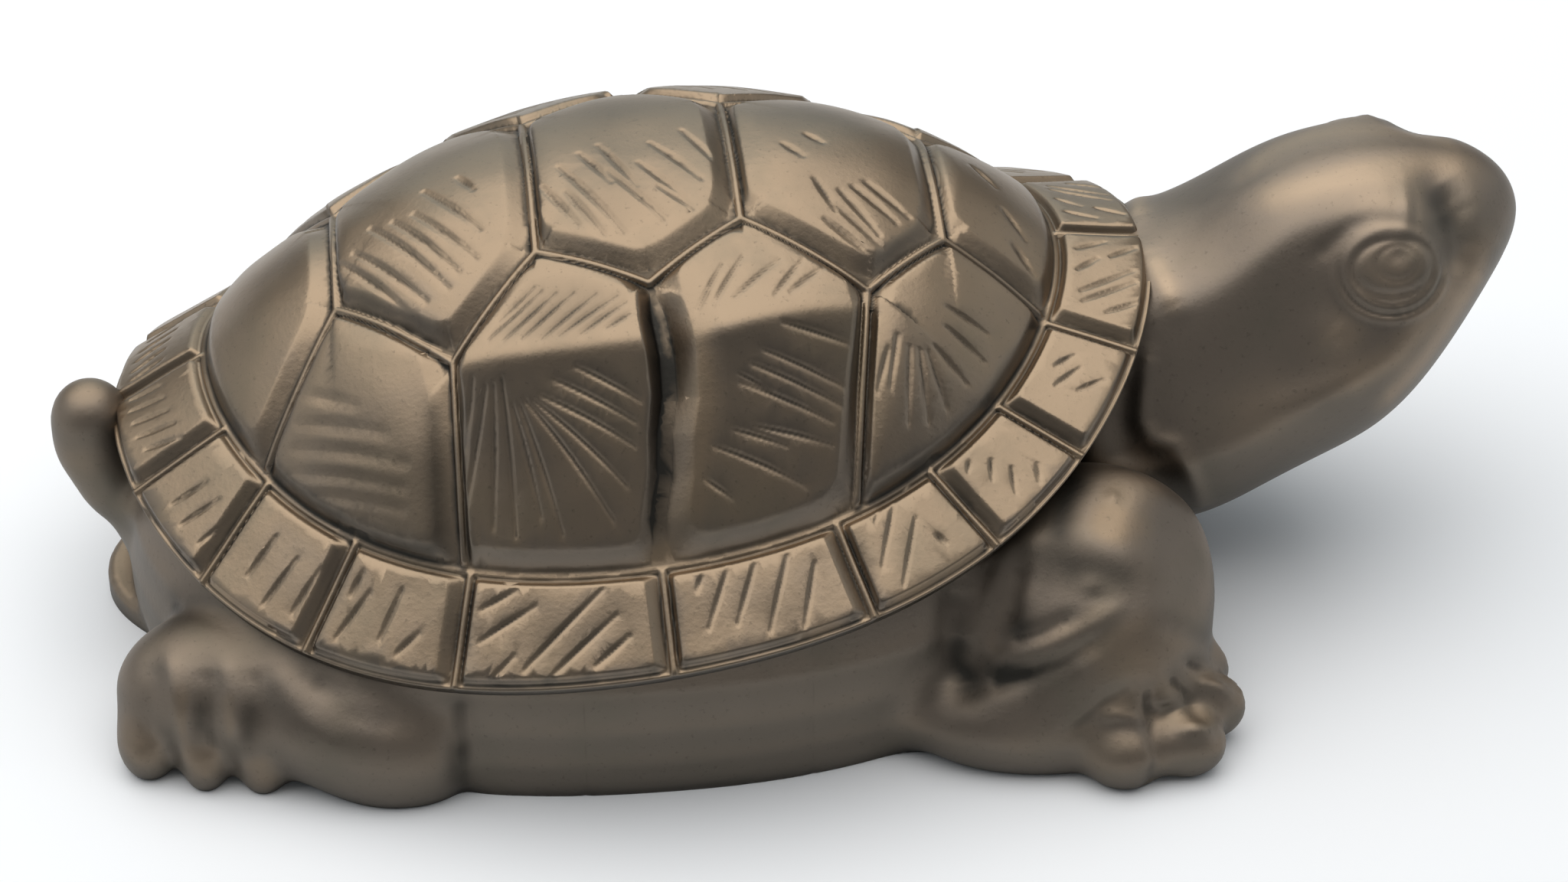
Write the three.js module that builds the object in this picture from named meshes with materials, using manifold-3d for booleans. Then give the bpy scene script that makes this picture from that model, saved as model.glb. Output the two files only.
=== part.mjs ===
// A small cast brass turtle paperweight: one solid casting with a domed, plated shell, a filed flat
// underside, four legs, a thick neck with a raised head, and a stub of a tail.
//
// Millimetres, +Z up. +X points to the head and +Y to the turtle's left. The origin is on the flat
// underside, below the middle of the shell.
import * as THREE from 'three';
import { mergeVertices } from 'three/addons/utils/BufferGeometryUtils.js';
import Module from 'manifold-3d';

const wasm = await Module();
wasm.setup();

// ---- driving dimensions ----
const SHELL_HALF_LENGTH = 38.5;
const SHELL_HALF_WIDTH = 31.2;
const SHELL_TOP = 35.8; // height of the bare dome over the origin, below the plates
const DOME_TILT = 0.059; // the dome's top rises a little towards the head
const DOME_POWER = 2.43;
const RING_AT = 0.818; // where the dome meets the sloping skirt, as a share of the shell's half axes
const RING_SIDE = 17.9; // height of the ring at the middle of a side
const SKIRT_SIDE = 12.9; // height of the shell's edge at the middle of a side
const LIP_THICK = 1.3;

const CHANNEL = 1.5; // groove between two plates, at its floor
const STRIP = 1.2; // bare strip between the lowest dome plates and the ring
const PLATE_LIFT = 1.3; // how far a plate stands above the dome
const PLATE_BEVEL = 0.55; // width of a plate's sloping edge
const PLATE_CROWN = 0.3;
const PLATE_ROOT = 1.4; // how deep a plate is sunk in the dome
const PLATE_STEP = 4.2; // spacing of points along a plate's outline
const CREASE_LIFT = 1.1; // extra height along the crease of a creased side plate
const CREASE_SPREAD = 6.5;
const RIM_LIFT = 1.0;
const EDGE_IN = 0.838; // inner and outer edge of the rim plates, as a share of the shell's half axes
const EDGE_OUT = 0.985;

const BODY_HALF_WIDTH = 29.2;
const BODY_FRONT = 36.5;
const BODY_REAR = 38.4;
const BODY_TOP = 15.0;
const PLASTRON_REAR = 40.4; // the flat belly plate ends in a thin lip behind the rump
const PLASTRON_HALF_WIDTH = 17.0;
const PLASTRON_THICK = 3.0;

const EYE = [54.4, 9.1, 28.1];
const EYE_RADIUS = 2.3;
const LID_RADIUS = 3.0;
const LID_THICK = 0.8;
const BROW = [[57.2, 7.1, 30.0], [3.2, 1.8, 1.3]]; // centre and radii

const BRONZE = new THREE.MeshStandardMaterial({ color: 0x6b5a48, roughness: 0.42, metalness: 0.9 });

// ---- from a geometry to a solid, and back ----
function signedVolume(position, index) {
  const [a, b, c] = [new THREE.Vector3(), new THREE.Vector3(), new THREE.Vector3()];
  let volume = 0;
  for (let i = 0; i < index.length; i += 3) {
    a.fromBufferAttribute(position, index[i]);
    b.fromBufferAttribute(position, index[i + 1]);
    c.fromBufferAttribute(position, index[i + 2]);
    volume += a.dot(b.cross(c)) / 6;
  }
  return volume;
}

function solid(geometry) {
  const bare = geometry.clone();
  bare.deleteAttribute('normal');
  bare.deleteAttribute('uv');
  const merged = mergeVertices(bare, 1e-4);
  const index = Array.from(merged.index.array);
  const faces = [];
  for (let i = 0; i < index.length; i += 3) {
    const [a, b, c] = index.slice(i, i + 3);
    if (a !== b && b !== c && a !== c) faces.push(a, b, c);
  }
  if (signedVolume(merged.attributes.position, faces) < 0) faces.reverse();
  return new wasm.Manifold(new wasm.Mesh({
    numProp: 3,
    vertProperties: new Float32Array(merged.attributes.position.array),
    triVerts: new Uint32Array(faces),
  }));
}

function geometryOf(made) {
  const mesh = made.getMesh();
  const geometry = new THREE.BufferGeometry();
  geometry.setAttribute('position', new THREE.BufferAttribute(mesh.vertProperties, 3));
  geometry.setIndex(new THREE.BufferAttribute(mesh.triVerts, 1));
  geometry.computeVertexNormals();
  return geometry;
}

// A closed skin of rings from one pole to the other: place(row, turn) gives each point, row from 0
// to rows and turn from 0 to 2 pi.
function skin(rows, columns, place) {
  const ball = new THREE.SphereGeometry(1, columns, rows);
  const position = ball.attributes.position;
  for (let row = 0; row <= rows; row += 1) {
    for (let column = 0; column <= columns; column += 1) {
      const turn = (column % columns) / columns * 2 * Math.PI;
      const point = place(row, turn);
      position.setXYZ(row * (columns + 1) + column, point.x, point.y, point.z);
    }
  }
  return solid(ball);
}

function ellipsoid(centre, radii, columns = 16, rows = 10) {
  return skin(rows, columns, (row, turn) => {
    const tilt = row / rows * Math.PI;
    return new THREE.Vector3(
      centre[0] + radii[0] * Math.sin(tilt) * Math.cos(turn),
      centre[1] + radii[1] * Math.sin(tilt) * Math.sin(turn),
      centre[2] + radii[2] * Math.cos(tilt),
    );
  });
}

// ---- the shell's bare surface ----
// The edge and the ring rise towards the head and, at the very ends, towards the head and the tail;
// along runs from -1 at the tail to 1 at the head.
const skirtHeight = (along) => SKIRT_SIDE + 4.8 * along - 0.5 * along ** 2 + 8.65 * along ** 4;
const ringHeight = (along) => RING_SIDE + 3.0 * along + 0.65 * along ** 2 + 5.1 * along ** 4;

function shellHeight(x, y) {
  const share = Math.hypot(x / SHELL_HALF_LENGTH, y / SHELL_HALF_WIDTH);
  const along = share > 1e-6 ? x / SHELL_HALF_LENGTH / share : 0;
  const ring = ringHeight(along);
  if (share < RING_AT) {
    const top = SHELL_TOP + DOME_TILT * x;
    return ring + (top - ring) * (1 - (share / RING_AT) ** DOME_POWER);
  }
  return ring + (skirtHeight(along) - ring) * (share - RING_AT) / (1 - RING_AT);
}

// The point that stands lift above the bare shell, along its normal.
function aboveShell(x, y, lift) {
  const step = 0.5;
  const slopeX = (shellHeight(x + step, y) - shellHeight(x - step, y)) / (2 * step);
  const slopeY = (shellHeight(x, y + step) - shellHeight(x, y - step)) / (2 * step);
  const normal = new THREE.Vector3(-slopeX, -slopeY, 1).normalize();
  return new THREE.Vector3(x, y, shellHeight(x, y)).addScaledVector(normal, lift);
}

function onEllipse(share, turn) {
  const x = SHELL_HALF_LENGTH * share * Math.cos(turn);
  return new THREE.Vector2(x, SHELL_HALF_WIDTH * share * Math.sin(turn));
}

function shellCore() {
  const dome = [0, 0.2, 0.4, 0.58, 0.72, RING_AT, 1.0];
  const under = [[1.0, LIP_THICK], [0.955, LIP_THICK + 1.0], [0.8, LIP_THICK + 2.5]];
  const rows = dome.length + under.length;
  return skin(rows, 48, (row, turn) => {
    if (row < dome.length) {
      const at = onEllipse(dome[row], turn);
      return new THREE.Vector3(at.x, at.y, shellHeight(at.x, at.y));
    }
    if (row === rows) return new THREE.Vector3(0, 0, SKIRT_SIDE - 4);
    const [share, drop] = under[row - dome.length];
    const at = onEllipse(share, turn);
    return new THREE.Vector3(at.x, at.y, skirtHeight(Math.cos(turn)) - drop);
  });
}

// ---- plates ----
// The corners where plates meet, on the turtle's left; the right side mirrors them.
const CORNER = {
  f: [22.2, 6.6], e: [8.3, 7.6], d: [-7.6, 8.3], g: [-21.4, 5.9],
  c: [16.1, 11.8], b: [0.6, 12.4], a: [-13.4, 13.5],
};
// Where the seams between plates reach the ring and the rim, in degrees from the head.
const RING_TURN = { i: 20.5, m12: 63.5, m23: 90, m34: 115.5, h: 150 };
const RIM_TURNS = [0, 20, 36.5, 51, 66.5, 89.5, 113.5, 131.5, 148.5, 163.5, 180];

const cornerAt = (name, side) => new THREE.Vector2(CORNER[name][0], side * CORNER[name][1]);

function ringArc(from, to, side, steps, share = RING_AT) {
  const points = [];
  for (let step = 0; step <= steps; step += 1) {
    const turn = THREE.MathUtils.degToRad(from + (to - from) * step / steps);
    points.push(onEllipse(share, side * turn));
  }
  return points;
}

// Moves each side of an outline inwards, by its own distance.
function inset(corners, distances) {
  const middle = corners.reduce((sum, p) => sum.add(p), new THREE.Vector2()).divideScalar(corners.length);
  const edges = corners.map((p, i) => {
    const q = corners[(i + 1) % corners.length];
    const along = q.clone().sub(p).normalize();
    const inwards = new THREE.Vector2(-along.y, along.x);
    if (inwards.dot(middle.clone().sub(p)) < 0) inwards.negate();
    return { from: p.clone().addScaledVector(inwards, distances[i]), along };
  });
  return edges.map((edge, i) => {
    const before = edges[(i + edges.length - 1) % edges.length];
    const cross = before.along.x * edge.along.y - before.along.y * edge.along.x;
    if (Math.abs(cross) < 0.05) return edge.from;
    const gap = edge.from.clone().sub(before.from);
    const reach = (gap.x * edge.along.y - gap.y * edge.along.x) / cross;
    return before.from.clone().addScaledVector(before.along, reach);
  });
}

// The same outline with extra points along its longer sides.
function divided(corners, step) {
  return corners.flatMap((corner, i) => {
    const after = corners[(i + 1) % corners.length];
    const count = Math.max(1, Math.round(corner.distanceTo(after) / step));
    return Array.from({ length: count }, (_, k) => corner.clone().lerp(after, k / count));
  });
}

function distanceToLine(point, [from, to]) {
  const along = new THREE.Vector2(to[0] - from[0], to[1] - from[1]).normalize();
  const gap = new THREE.Vector2(point.x - from[0], point.y - from[1]);
  return Math.abs(gap.x * along.y - gap.y * along.x);
}

function plate(outline, { lift = PLATE_LIFT, crown = PLATE_CROWN, crease = null } = {}) {
  const count = outline.length;
  const middle = outline.reduce((sum, p) => sum.add(p), new THREE.Vector2()).divideScalar(count);
  const liftAt = (at, share) => {
    let height = lift + crown * (1 - share * share);
    if (crease) height += CREASE_LIFT * Math.max(0, 1 - distanceToLine(at, crease) / CREASE_SPREAD);
    return height;
  };
  const shares = crease ? [0, 0.3, 0.62, 1] : crown > 0 ? [0, 0.5, 1] : [0, 1];
  const rows = shares.length + 2;
  return skin(rows, count, (row, turn) => {
    const edge = outline[Math.round(turn / (2 * Math.PI) * count) % count];
    if (row < shares.length) {
      const bevel = edge.clone().lerp(middle, PLATE_BEVEL / edge.distanceTo(middle));
      const at = middle.clone().lerp(bevel, shares[row]);
      return aboveShell(at.x, at.y, liftAt(at, shares[row]));
    }
    if (row === shares.length) return aboveShell(edge.x, edge.y, 0.1);
    if (row < rows) return aboveShell(edge.x, edge.y, -PLATE_ROOT);
    return aboveShell(middle.x, middle.y, -PLATE_ROOT);
  });
}

function domePlates() {
  const half = CHANNEL / 2;
  const at = (names, side) => names.map((name) => cornerAt(name, side));
  const bothSides = (names) => [...at(names, 1), ...at([...names].reverse(), -1)];
  const spine = [
    [[...at(['f'], 1), ...ringArc(RING_TURN.i, -RING_TURN.i, 1, 6), ...at(['f'], -1)], 1, 6],
    [bothSides(['f', 'c', 'e']), 0, 0],
    [bothSides(['e', 'b', 'd']), 0, 0],
    [bothSides(['d', 'a', 'g']), 0, 0],
    [[...at(['g'], 1), ...ringArc(RING_TURN.h, 360 - RING_TURN.h, 1, 8), ...at(['g'], -1)], 1, 8],
  ];
  const insets = (corners, first, spans) =>
    corners.map((_, i) => (spans && i >= first && i < first + spans ? STRIP : half));
  const plates = spine.map(([corners, first, spans]) =>
    plate(divided(inset(corners, insets(corners, first, spans)), PLATE_STEP), { crown: 0.6 }));
  for (const side of [1, -1]) {
    const flank = [
      [['f', 'c'], RING_TURN.m12, RING_TURN.i, 4, null],
      [['c', 'e', 'b'], RING_TURN.m23, RING_TURN.m12, 3, [[2.5, 16.6 * side], [14.5, 14.8 * side]]],
      [['b', 'd', 'a'], RING_TURN.m34, RING_TURN.m23, 3, [[-13.0, 15.6 * side], [1.0, 16.8 * side]]],
      [['a', 'g'], RING_TURN.h, RING_TURN.m34, 4, null],
    ];
    for (const [names, from, to, spans, crease] of flank) {
      const corners = [...at([...names].reverse(), side), ...ringArc(to, from, side, spans)];
      const outline = inset(corners, insets(corners, names.length, spans));
      plates.push(plate(divided(outline, PLATE_STEP), { crease }));
    }
  }
  return plates;
}

function rimPlates() {
  const plates = [];
  const gap = THREE.MathUtils.radToDeg(0.7 * CHANNEL / (SHELL_HALF_WIDTH * 0.92));
  for (const side of [1, -1]) {
    for (let i = 0; i + 1 < RIM_TURNS.length; i += 1) {
      const from = RIM_TURNS[i] + gap;
      const to = RIM_TURNS[i + 1] - gap;
      const corners = [...ringArc(from, to, side, 2, EDGE_IN), ...ringArc(to, from, side, 2, EDGE_OUT)];
      plates.push(plate(divided(corners, PLATE_STEP), { lift: RIM_LIFT, crown: 0 }));
    }
  }
  return plates;
}

// ---- body ----
function body() {
  const levels = [[1.0, -2], [1.0, 4], [0.985, 9], [0.96, BODY_TOP]];
  const rows = levels.length + 1;
  return skin(rows, 48, (row, turn) => {
    if (row === 0) return new THREE.Vector3(0, 0, -2);
    if (row === rows) return new THREE.Vector3(0, 0, BODY_TOP);
    const [share, z] = levels[row - 1];
    const length = Math.cos(turn) > 0 ? BODY_FRONT : BODY_REAR;
    const square = (value) => Math.sign(value) * Math.abs(value) ** 0.88;
    return new THREE.Vector3(
      share * length * square(Math.cos(turn)),
      share * BODY_HALF_WIDTH * square(Math.sin(turn)),
      z,
    );
  });
}

function plastron() {
  const rows = 4;
  return skin(rows, 40, (row, turn) => {
    if (row === 0) return new THREE.Vector3(0, 0, -2);
    if (row === rows) return new THREE.Vector3(0, 0, PLASTRON_THICK + 1);
    const share = row === 3 ? 0.95 : 1;
    return new THREE.Vector3(
      share * (Math.cos(turn) > 0 ? BODY_FRONT - 1 : PLASTRON_REAR) * Math.cos(turn),
      share * PLASTRON_HALF_WIDTH * Math.sin(turn),
      row === 1 ? -2 : PLASTRON_THICK + (row === 3 ? 0.5 : 0),
    );
  });
}

// A smooth run through stations, each an array of equal length.
function through(stations, share) {
  const span = share * (stations.length - 1);
  const i = Math.min(Math.floor(span), stations.length - 2);
  const t = span - i;
  const before = stations[Math.max(i - 1, 0)];
  const after = stations[Math.min(i + 2, stations.length - 1)];
  return stations[i].map((p1, k) => {
    const p2 = stations[i + 1][k];
    const v1 = (p2 - before[k]) / 2;
    const v2 = (after[k] - p1) / 2;
    return (2 * p1 - 2 * p2 + v1 + v2) * t ** 3 + (-3 * p1 + 3 * p2 - 2 * v1 - v2) * t ** 2 + v1 * t + p1;
  });
}

// Neck and head: stations of x, middle height, half width and half height, from inside the body
// to the tip of the nose.
const HEAD_STATIONS = [
  [30, 14.5, 11.5, 10.0], [36, 14.4, 13.2, 11.4], [42, 15.0, 13.4, 12.2], [47, 18.4, 13.2, 12.7],
  [51, 20.2, 12.7, 12.5], [55, 21.4, 12.1, 11.7], [58, 22.7, 10.6, 10.1], [60.5, 24.2, 8.7, 8.1],
  [62.8, 25.6, 6.5, 6.1], [64.8, 26.6, 4.2, 3.9], [66.0, 26.9, 2.3, 2.1],
];
const NOSE = [66.6, 0, 26.8];

function head() {
  const inner = 16;
  const rows = inner + 2;
  return skin(rows, 20, (row, turn) => {
    if (row === 0) return new THREE.Vector3(HEAD_STATIONS[0][0], 0, HEAD_STATIONS[0][1]);
    if (row === rows) return new THREE.Vector3(...NOSE);
    const [x, z, wide, high] = through(HEAD_STATIONS, (row - 1) / inner);
    return new THREE.Vector3(x, wide * Math.cos(turn), z + high * Math.sin(turn));
  });
}

function eye(side) {
  const outwards = new THREE.Vector3(0.12, side * 0.76, 0.64).normalize();
  const place = [EYE[0], side * EYE[1], EYE[2]];
  const turned = new THREE.Quaternion().setFromUnitVectors(new THREE.Vector3(0, 0, 1), outwards);
  const ring = new THREE.TorusGeometry(LID_RADIUS, LID_THICK, 5, 12).scale(1.12, 0.95, 1);
  const ball = new THREE.SphereGeometry(EYE_RADIUS, 10, 6).translate(0, 0, -EYE_RADIUS * 0.5);
  const [[x, y, z], radii] = BROW;
  return [
    ...[ring, ball].map((shape) => solid(shape.applyQuaternion(turned).translate(...place))),
    ellipsoid([x, side * y, z], radii, 8, 5),
  ];
}

// ---- legs, feet and tail ----
// Each leg is a few lumps, each a centre and its radii, for a leg on the turtle's left.
const FRONT_LEG = [
  [[32.0, 19.0, 10.2], [8.8, 7.8, 7.4]],
  [[31.5, 23.0, 6.2], [8.2, 6.8, 6.8]],
  [[28.5, 25.2, 2.8], [11.3, 5.8, 4.6]],
];
const FRONT_TOES = [
  [[39.0, 23.4, 3.2], [2.9, 2.0, 2.9]], [[39.3, 26.8, 2.8], [2.9, 2.0, 2.9]],
  [[37.4, 29.8, 2.2], [2.9, 2.4, 2.6]], [[32.8, 30.4, 1.9], [3.4, 2.8, 2.7]],
];
const REAR_LEG = [
  [[-22.0, 20.0, 5.4], [10.0, 8.2, 7.6]],
  [[-31.0, 18.8, 4.8], [8.0, 5.9, 5.8]],
  [[-18.2, 24.0, 2.6], [6.4, 5.4, 5.0]],
];
const REAR_TOES = [
  [[-37.2, 20.4, 2.2], [2.5, 2.7, 3.4]], [[-34.8, 22.9, 2.0], [2.3, 2.5, 3.4]],
  [[-31.0, 24.0, 1.9], [2.3, 2.6, 3.4]], [[-27.0, 24.3, 1.9], [2.5, 2.6, 3.4]],
];

function leg(lumps, toes, side) {
  const ball = (columns, rows) => ([[x, y, z], radii]) => ellipsoid([x, side * y, z], radii, columns, rows);
  return [...lumps.map(ball(12, 7)), ...toes.map(ball(8, 4))];
}

// Stations of x, height and radius, from inside the rump up to the tip.
const TAIL_STATIONS = [
  [-32.5, 5.4, 3.2], [-36.2, 7.2, 3.1], [-38.6, 10.0, 3.1], [-40.0, 13.6, 3.3], [-40.2, 16.8, 2.8],
];
const TAIL_TIP = [-40.0, 0, 19.1];

function tail() {
  const inner = 8;
  const rows = inner + 2;
  return skin(rows, 12, (row, turn) => {
    if (row === 0) return new THREE.Vector3(TAIL_STATIONS[0][0] + 1, 0, TAIL_STATIONS[0][1] - 1);
    if (row === rows) return new THREE.Vector3(...TAIL_TIP);
    const share = (row - 1) / inner;
    const [x, z, radius] = through(TAIL_STATIONS, share);
    const next = through(TAIL_STATIONS, Math.min(share + 0.01, 1));
    const last = through(TAIL_STATIONS, Math.max(share - 0.01, 0));
    const lean = Math.atan2(next[1] - last[1], next[0] - last[0]);
    const out = radius * Math.cos(turn);
    return new THREE.Vector3(x - Math.sin(lean) * out, radius * Math.sin(turn), z + Math.cos(lean) * out);
  });
}

// ---- the casting ----
const bothSides = (make) => [...make(1), ...make(-1)];
const pieces = [
  ...domePlates(), ...rimPlates(), body(), plastron(), head(), tail(),
  ...bothSides(eye),
  ...bothSides((side) => leg(FRONT_LEG, FRONT_TOES, side)),
  ...bothSides((side) => leg(REAR_LEG, REAR_TOES, side)),
];
const floor = solid(new THREE.BoxGeometry(200, 200, 40).translate(0, 0, -20));
const casting = pieces.reduce((sum, piece) => sum.add(piece), shellCore()).subtract(floor);

const turtle = new THREE.Mesh(geometryOf(casting), BRONZE);
turtle.name = 'turtle';

const group = new THREE.Group();
group.add(turtle);

export default group;
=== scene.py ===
import math

import bpy
import numpy as np
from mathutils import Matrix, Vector


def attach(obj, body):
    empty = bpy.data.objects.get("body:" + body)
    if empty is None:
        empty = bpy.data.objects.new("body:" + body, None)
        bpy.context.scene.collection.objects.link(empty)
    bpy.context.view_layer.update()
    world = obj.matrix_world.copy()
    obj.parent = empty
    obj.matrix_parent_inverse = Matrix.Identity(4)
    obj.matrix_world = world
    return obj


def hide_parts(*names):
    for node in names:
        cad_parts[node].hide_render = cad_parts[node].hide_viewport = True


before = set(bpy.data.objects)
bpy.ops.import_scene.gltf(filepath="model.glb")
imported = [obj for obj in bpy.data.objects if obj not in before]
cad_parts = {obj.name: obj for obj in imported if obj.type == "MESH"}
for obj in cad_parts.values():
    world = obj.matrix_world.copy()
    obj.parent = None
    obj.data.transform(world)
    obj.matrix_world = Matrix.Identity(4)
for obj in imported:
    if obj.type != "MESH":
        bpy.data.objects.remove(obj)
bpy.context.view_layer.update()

MM = 0.001
SEED = 7

# ---- the shell's bare surface ----
SHELL_HALF_LENGTH = 38.5
SHELL_HALF_WIDTH = 31.2
SHELL_TOP = 35.8
DOME_TILT = 0.059
DOME_POWER = 2.43
SLOPE_STEP = 0.4  # how far apart heights are taken to find the slope
RING_AT = 0.818  # where the dome meets the rim, as a share of the shell's half axes
RING_SIDE = 17.9  # height of the ring at the turtle's side, and how it rises to the head and the tail:
RING_RISE = (3.0, 0.65, 5.1)  # with the first, second and fourth power of the way along
SKIRT_SIDE = 12.9  # the same for the edge of the rim
SKIRT_RISE = (4.8, -0.5, 8.65)
GRID = (560, 460)  # columns and rows of the shell's mesh
SHELL_TRIANGLES = 190000  # what the thinning leaves of the grid alone; the lip comes to about 10000 more
LIP_STEPS = (  # the rim's lip and the underside: how far each step goes down, and how much narrower
    (0.08, 1.0), (0.12, 0.9985), (0.5, 0.992), (0.3, 0.984), (0.1, 0.975), (1.2, 0.86),
)
WOBBLE_HIGH = 0.07  # the unevenness of a hand-worked surface
WOBBLE_SIZE = 6.0
WOBBLE_WAVES = 8

# ---- the relief on it ----
BEAD = (0.3, 0.32)  # half width and height of the bead that runs along each seam
CHANNEL_HALF = 0.3  # from a seam's middle to the foot of a plate
PLATE_LIFT = 0.75  # height of a plate's brink
CROWN_LIFT = 0.3  # how much more it swells towards its middle, over this width
CROWN_WIDTH = 2.5
WIDE_WALL = 1.45  # a plate slopes gently down to the plates before it and outside it
NARROW_WALL = 0.42  # and steeply to the others
GENTLE_SIDE = (0.6, 0.8)  # the way that tells the two apart, forwards and outwards
RIM_LIFT = 0.7
RIM_WALL = 0.45
RIM_FOOT = 0.3  # from the ring and from the edge to the foot of a rim plate
CORNER_SOFT = 0.4  # how much the corners of the plates are rounded
CREASE_LIFT = 1.75  # extra height along the ridge of the creased side plates
FAR_CREASE = 0.3  # the creases are shallower on the turtle's left
CREASED_FOOT_WALL = 2.0  # width of the steep wall between a creased plate and the rim
STROKE_HALF = 0.3  # half width and depth of an engraved stroke
STROKE_DEEP = 0.17
FLUTE_HALF = 0.42  # the spine plates' strokes are broader and softer
FLUTE_DEEP = 0.2

# The corners where plates meet, x and distance from the middle line: f, e, d and g beside the spine
# plates from the head to the tail, and c, b and a farther out between the side plates.
CORNERS = {
    "f": (22.2, 6.6), "e": (7.5, 7.6), "d": (-7.1, 8.3), "g": (-21.4, 5.9),
    "c": (16.1, 11.8), "b": (0.6, 12.2), "a": (-13.4, 13.5),
}
SEAMS = ("fc", "ce", "eb", "bd", "da", "ag")
SEAM_TO_RING = {"f": 20.5, "c": 63.5, "a": 115.5, "g": 150.0}  # degrees from the head
# The curved channel between the two creased plates, as x and distance from the middle line, then its
# half width, and the widths of the steep wall behind it and of the gentle one before it.
MIDDLE_CHANNEL = (
    (0.6, 12.2), (1.0, 14.1), (1.4, 16.6), (1.4, 18.6), (0.9, 20.3), (0.7, 22.0), (0.1, 23.7),
    (0.0, 25.6),
)
MIDDLE_HALF = 0.45
MIDDLE_WALLS = (0.85, 1.6)
RIM_SEAMS = (  # where the rim's seams start at the ring and end at the edge, in degrees from the head
    (0.0, 0.0), (21.0, 21.0), (37.5, 36.7), (51.7, 51.6), (66.6, 67.6), (89.8, 89.4),
    (114.6, 112.6), (131.6, 130.7), (148.8, 146.8), (161.5, 163.2), (180.0, 180.0),
)
# The creased plates on each side, the one before the middle channel and the one behind it: the line
# of the ridge as x and distance from the middle line, and where the upper face starts.
CREASED_PLATES = (
    (((1.9, 16.0), (5.6, 15.4), (8.5, 14.7), (11.3, 14.0), (15.0, 13.4)), 8.7),
    (((-14.5, 14.0), (-11.8, 14.3), (-7.7, 15.1), (-4.3, 15.6), (2.4, 15.9)), 9.3),
)
CREASE_FOOT = 0.79  # where the lower face ends, as a share of the shell's half axes
CREASE_SOFT = 0.25
CREASE_END = 1.1  # how far from the other plates the crease reaches its full height

# Engraved strokes, each from one end to the other. Those on the spine plates cross the middle line,
# and the others are cut alike on both sides.
SPINE_STROKES = (
    (-4.8, -1.6, -0.8, -8.7), (-6.2, -3.2, -3.9, -7.4), (-3.3, -0.4, -1.3, -4.1),
    (-1.5, -2.9, 2.1, -8.0), (-1.9, 0.3, 0.4, -4.8), (1.8, 0.0, 5.0, -4.4), (0.8, -2.4, 3.7, -6.3),
    (4.2, 1.4, 6.6, -3.3), (2.0, -5.0, 4.2, -7.2), (-4.5, -4.3, -2.2, -8.6), (13.0, -4.2, 14.2, -6.8),
    (14.7, -5.1, 17.1, -8.1), (15.7, -4.6, 18.5, -6.8), (16.7, -4.0, 19.5, -6.1),
    (13.4, -7.6, 16.3, -9.7), (14.0, -6.2, 17.4, -9.1), (13.0, 0.6, 14.0, -0.3),
    (11.2, -0.8, 12.4, -2.1), (-11.9, 0.3, -10.9, -1.6), (-14.3, 0.0, -10.6, -5.6),
    (-15.1, -2.0, -11.0, -7.8), (-16.6, -1.8, -12.3, -8.3), (-18.2, -1.3, -13.1, -9.1),
    (-19.5, -2.8, -14.7, -9.3), (-20.6, -2.9, -15.7, -9.9), (-13.0, -1.8, -11.6, -4.2),
    (26.8, -2.2, 28.2, -4.0), (27.2, -5.0, 28.6, -6.6), (25.2, 2.0, 26.6, 0.2),
)
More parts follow.
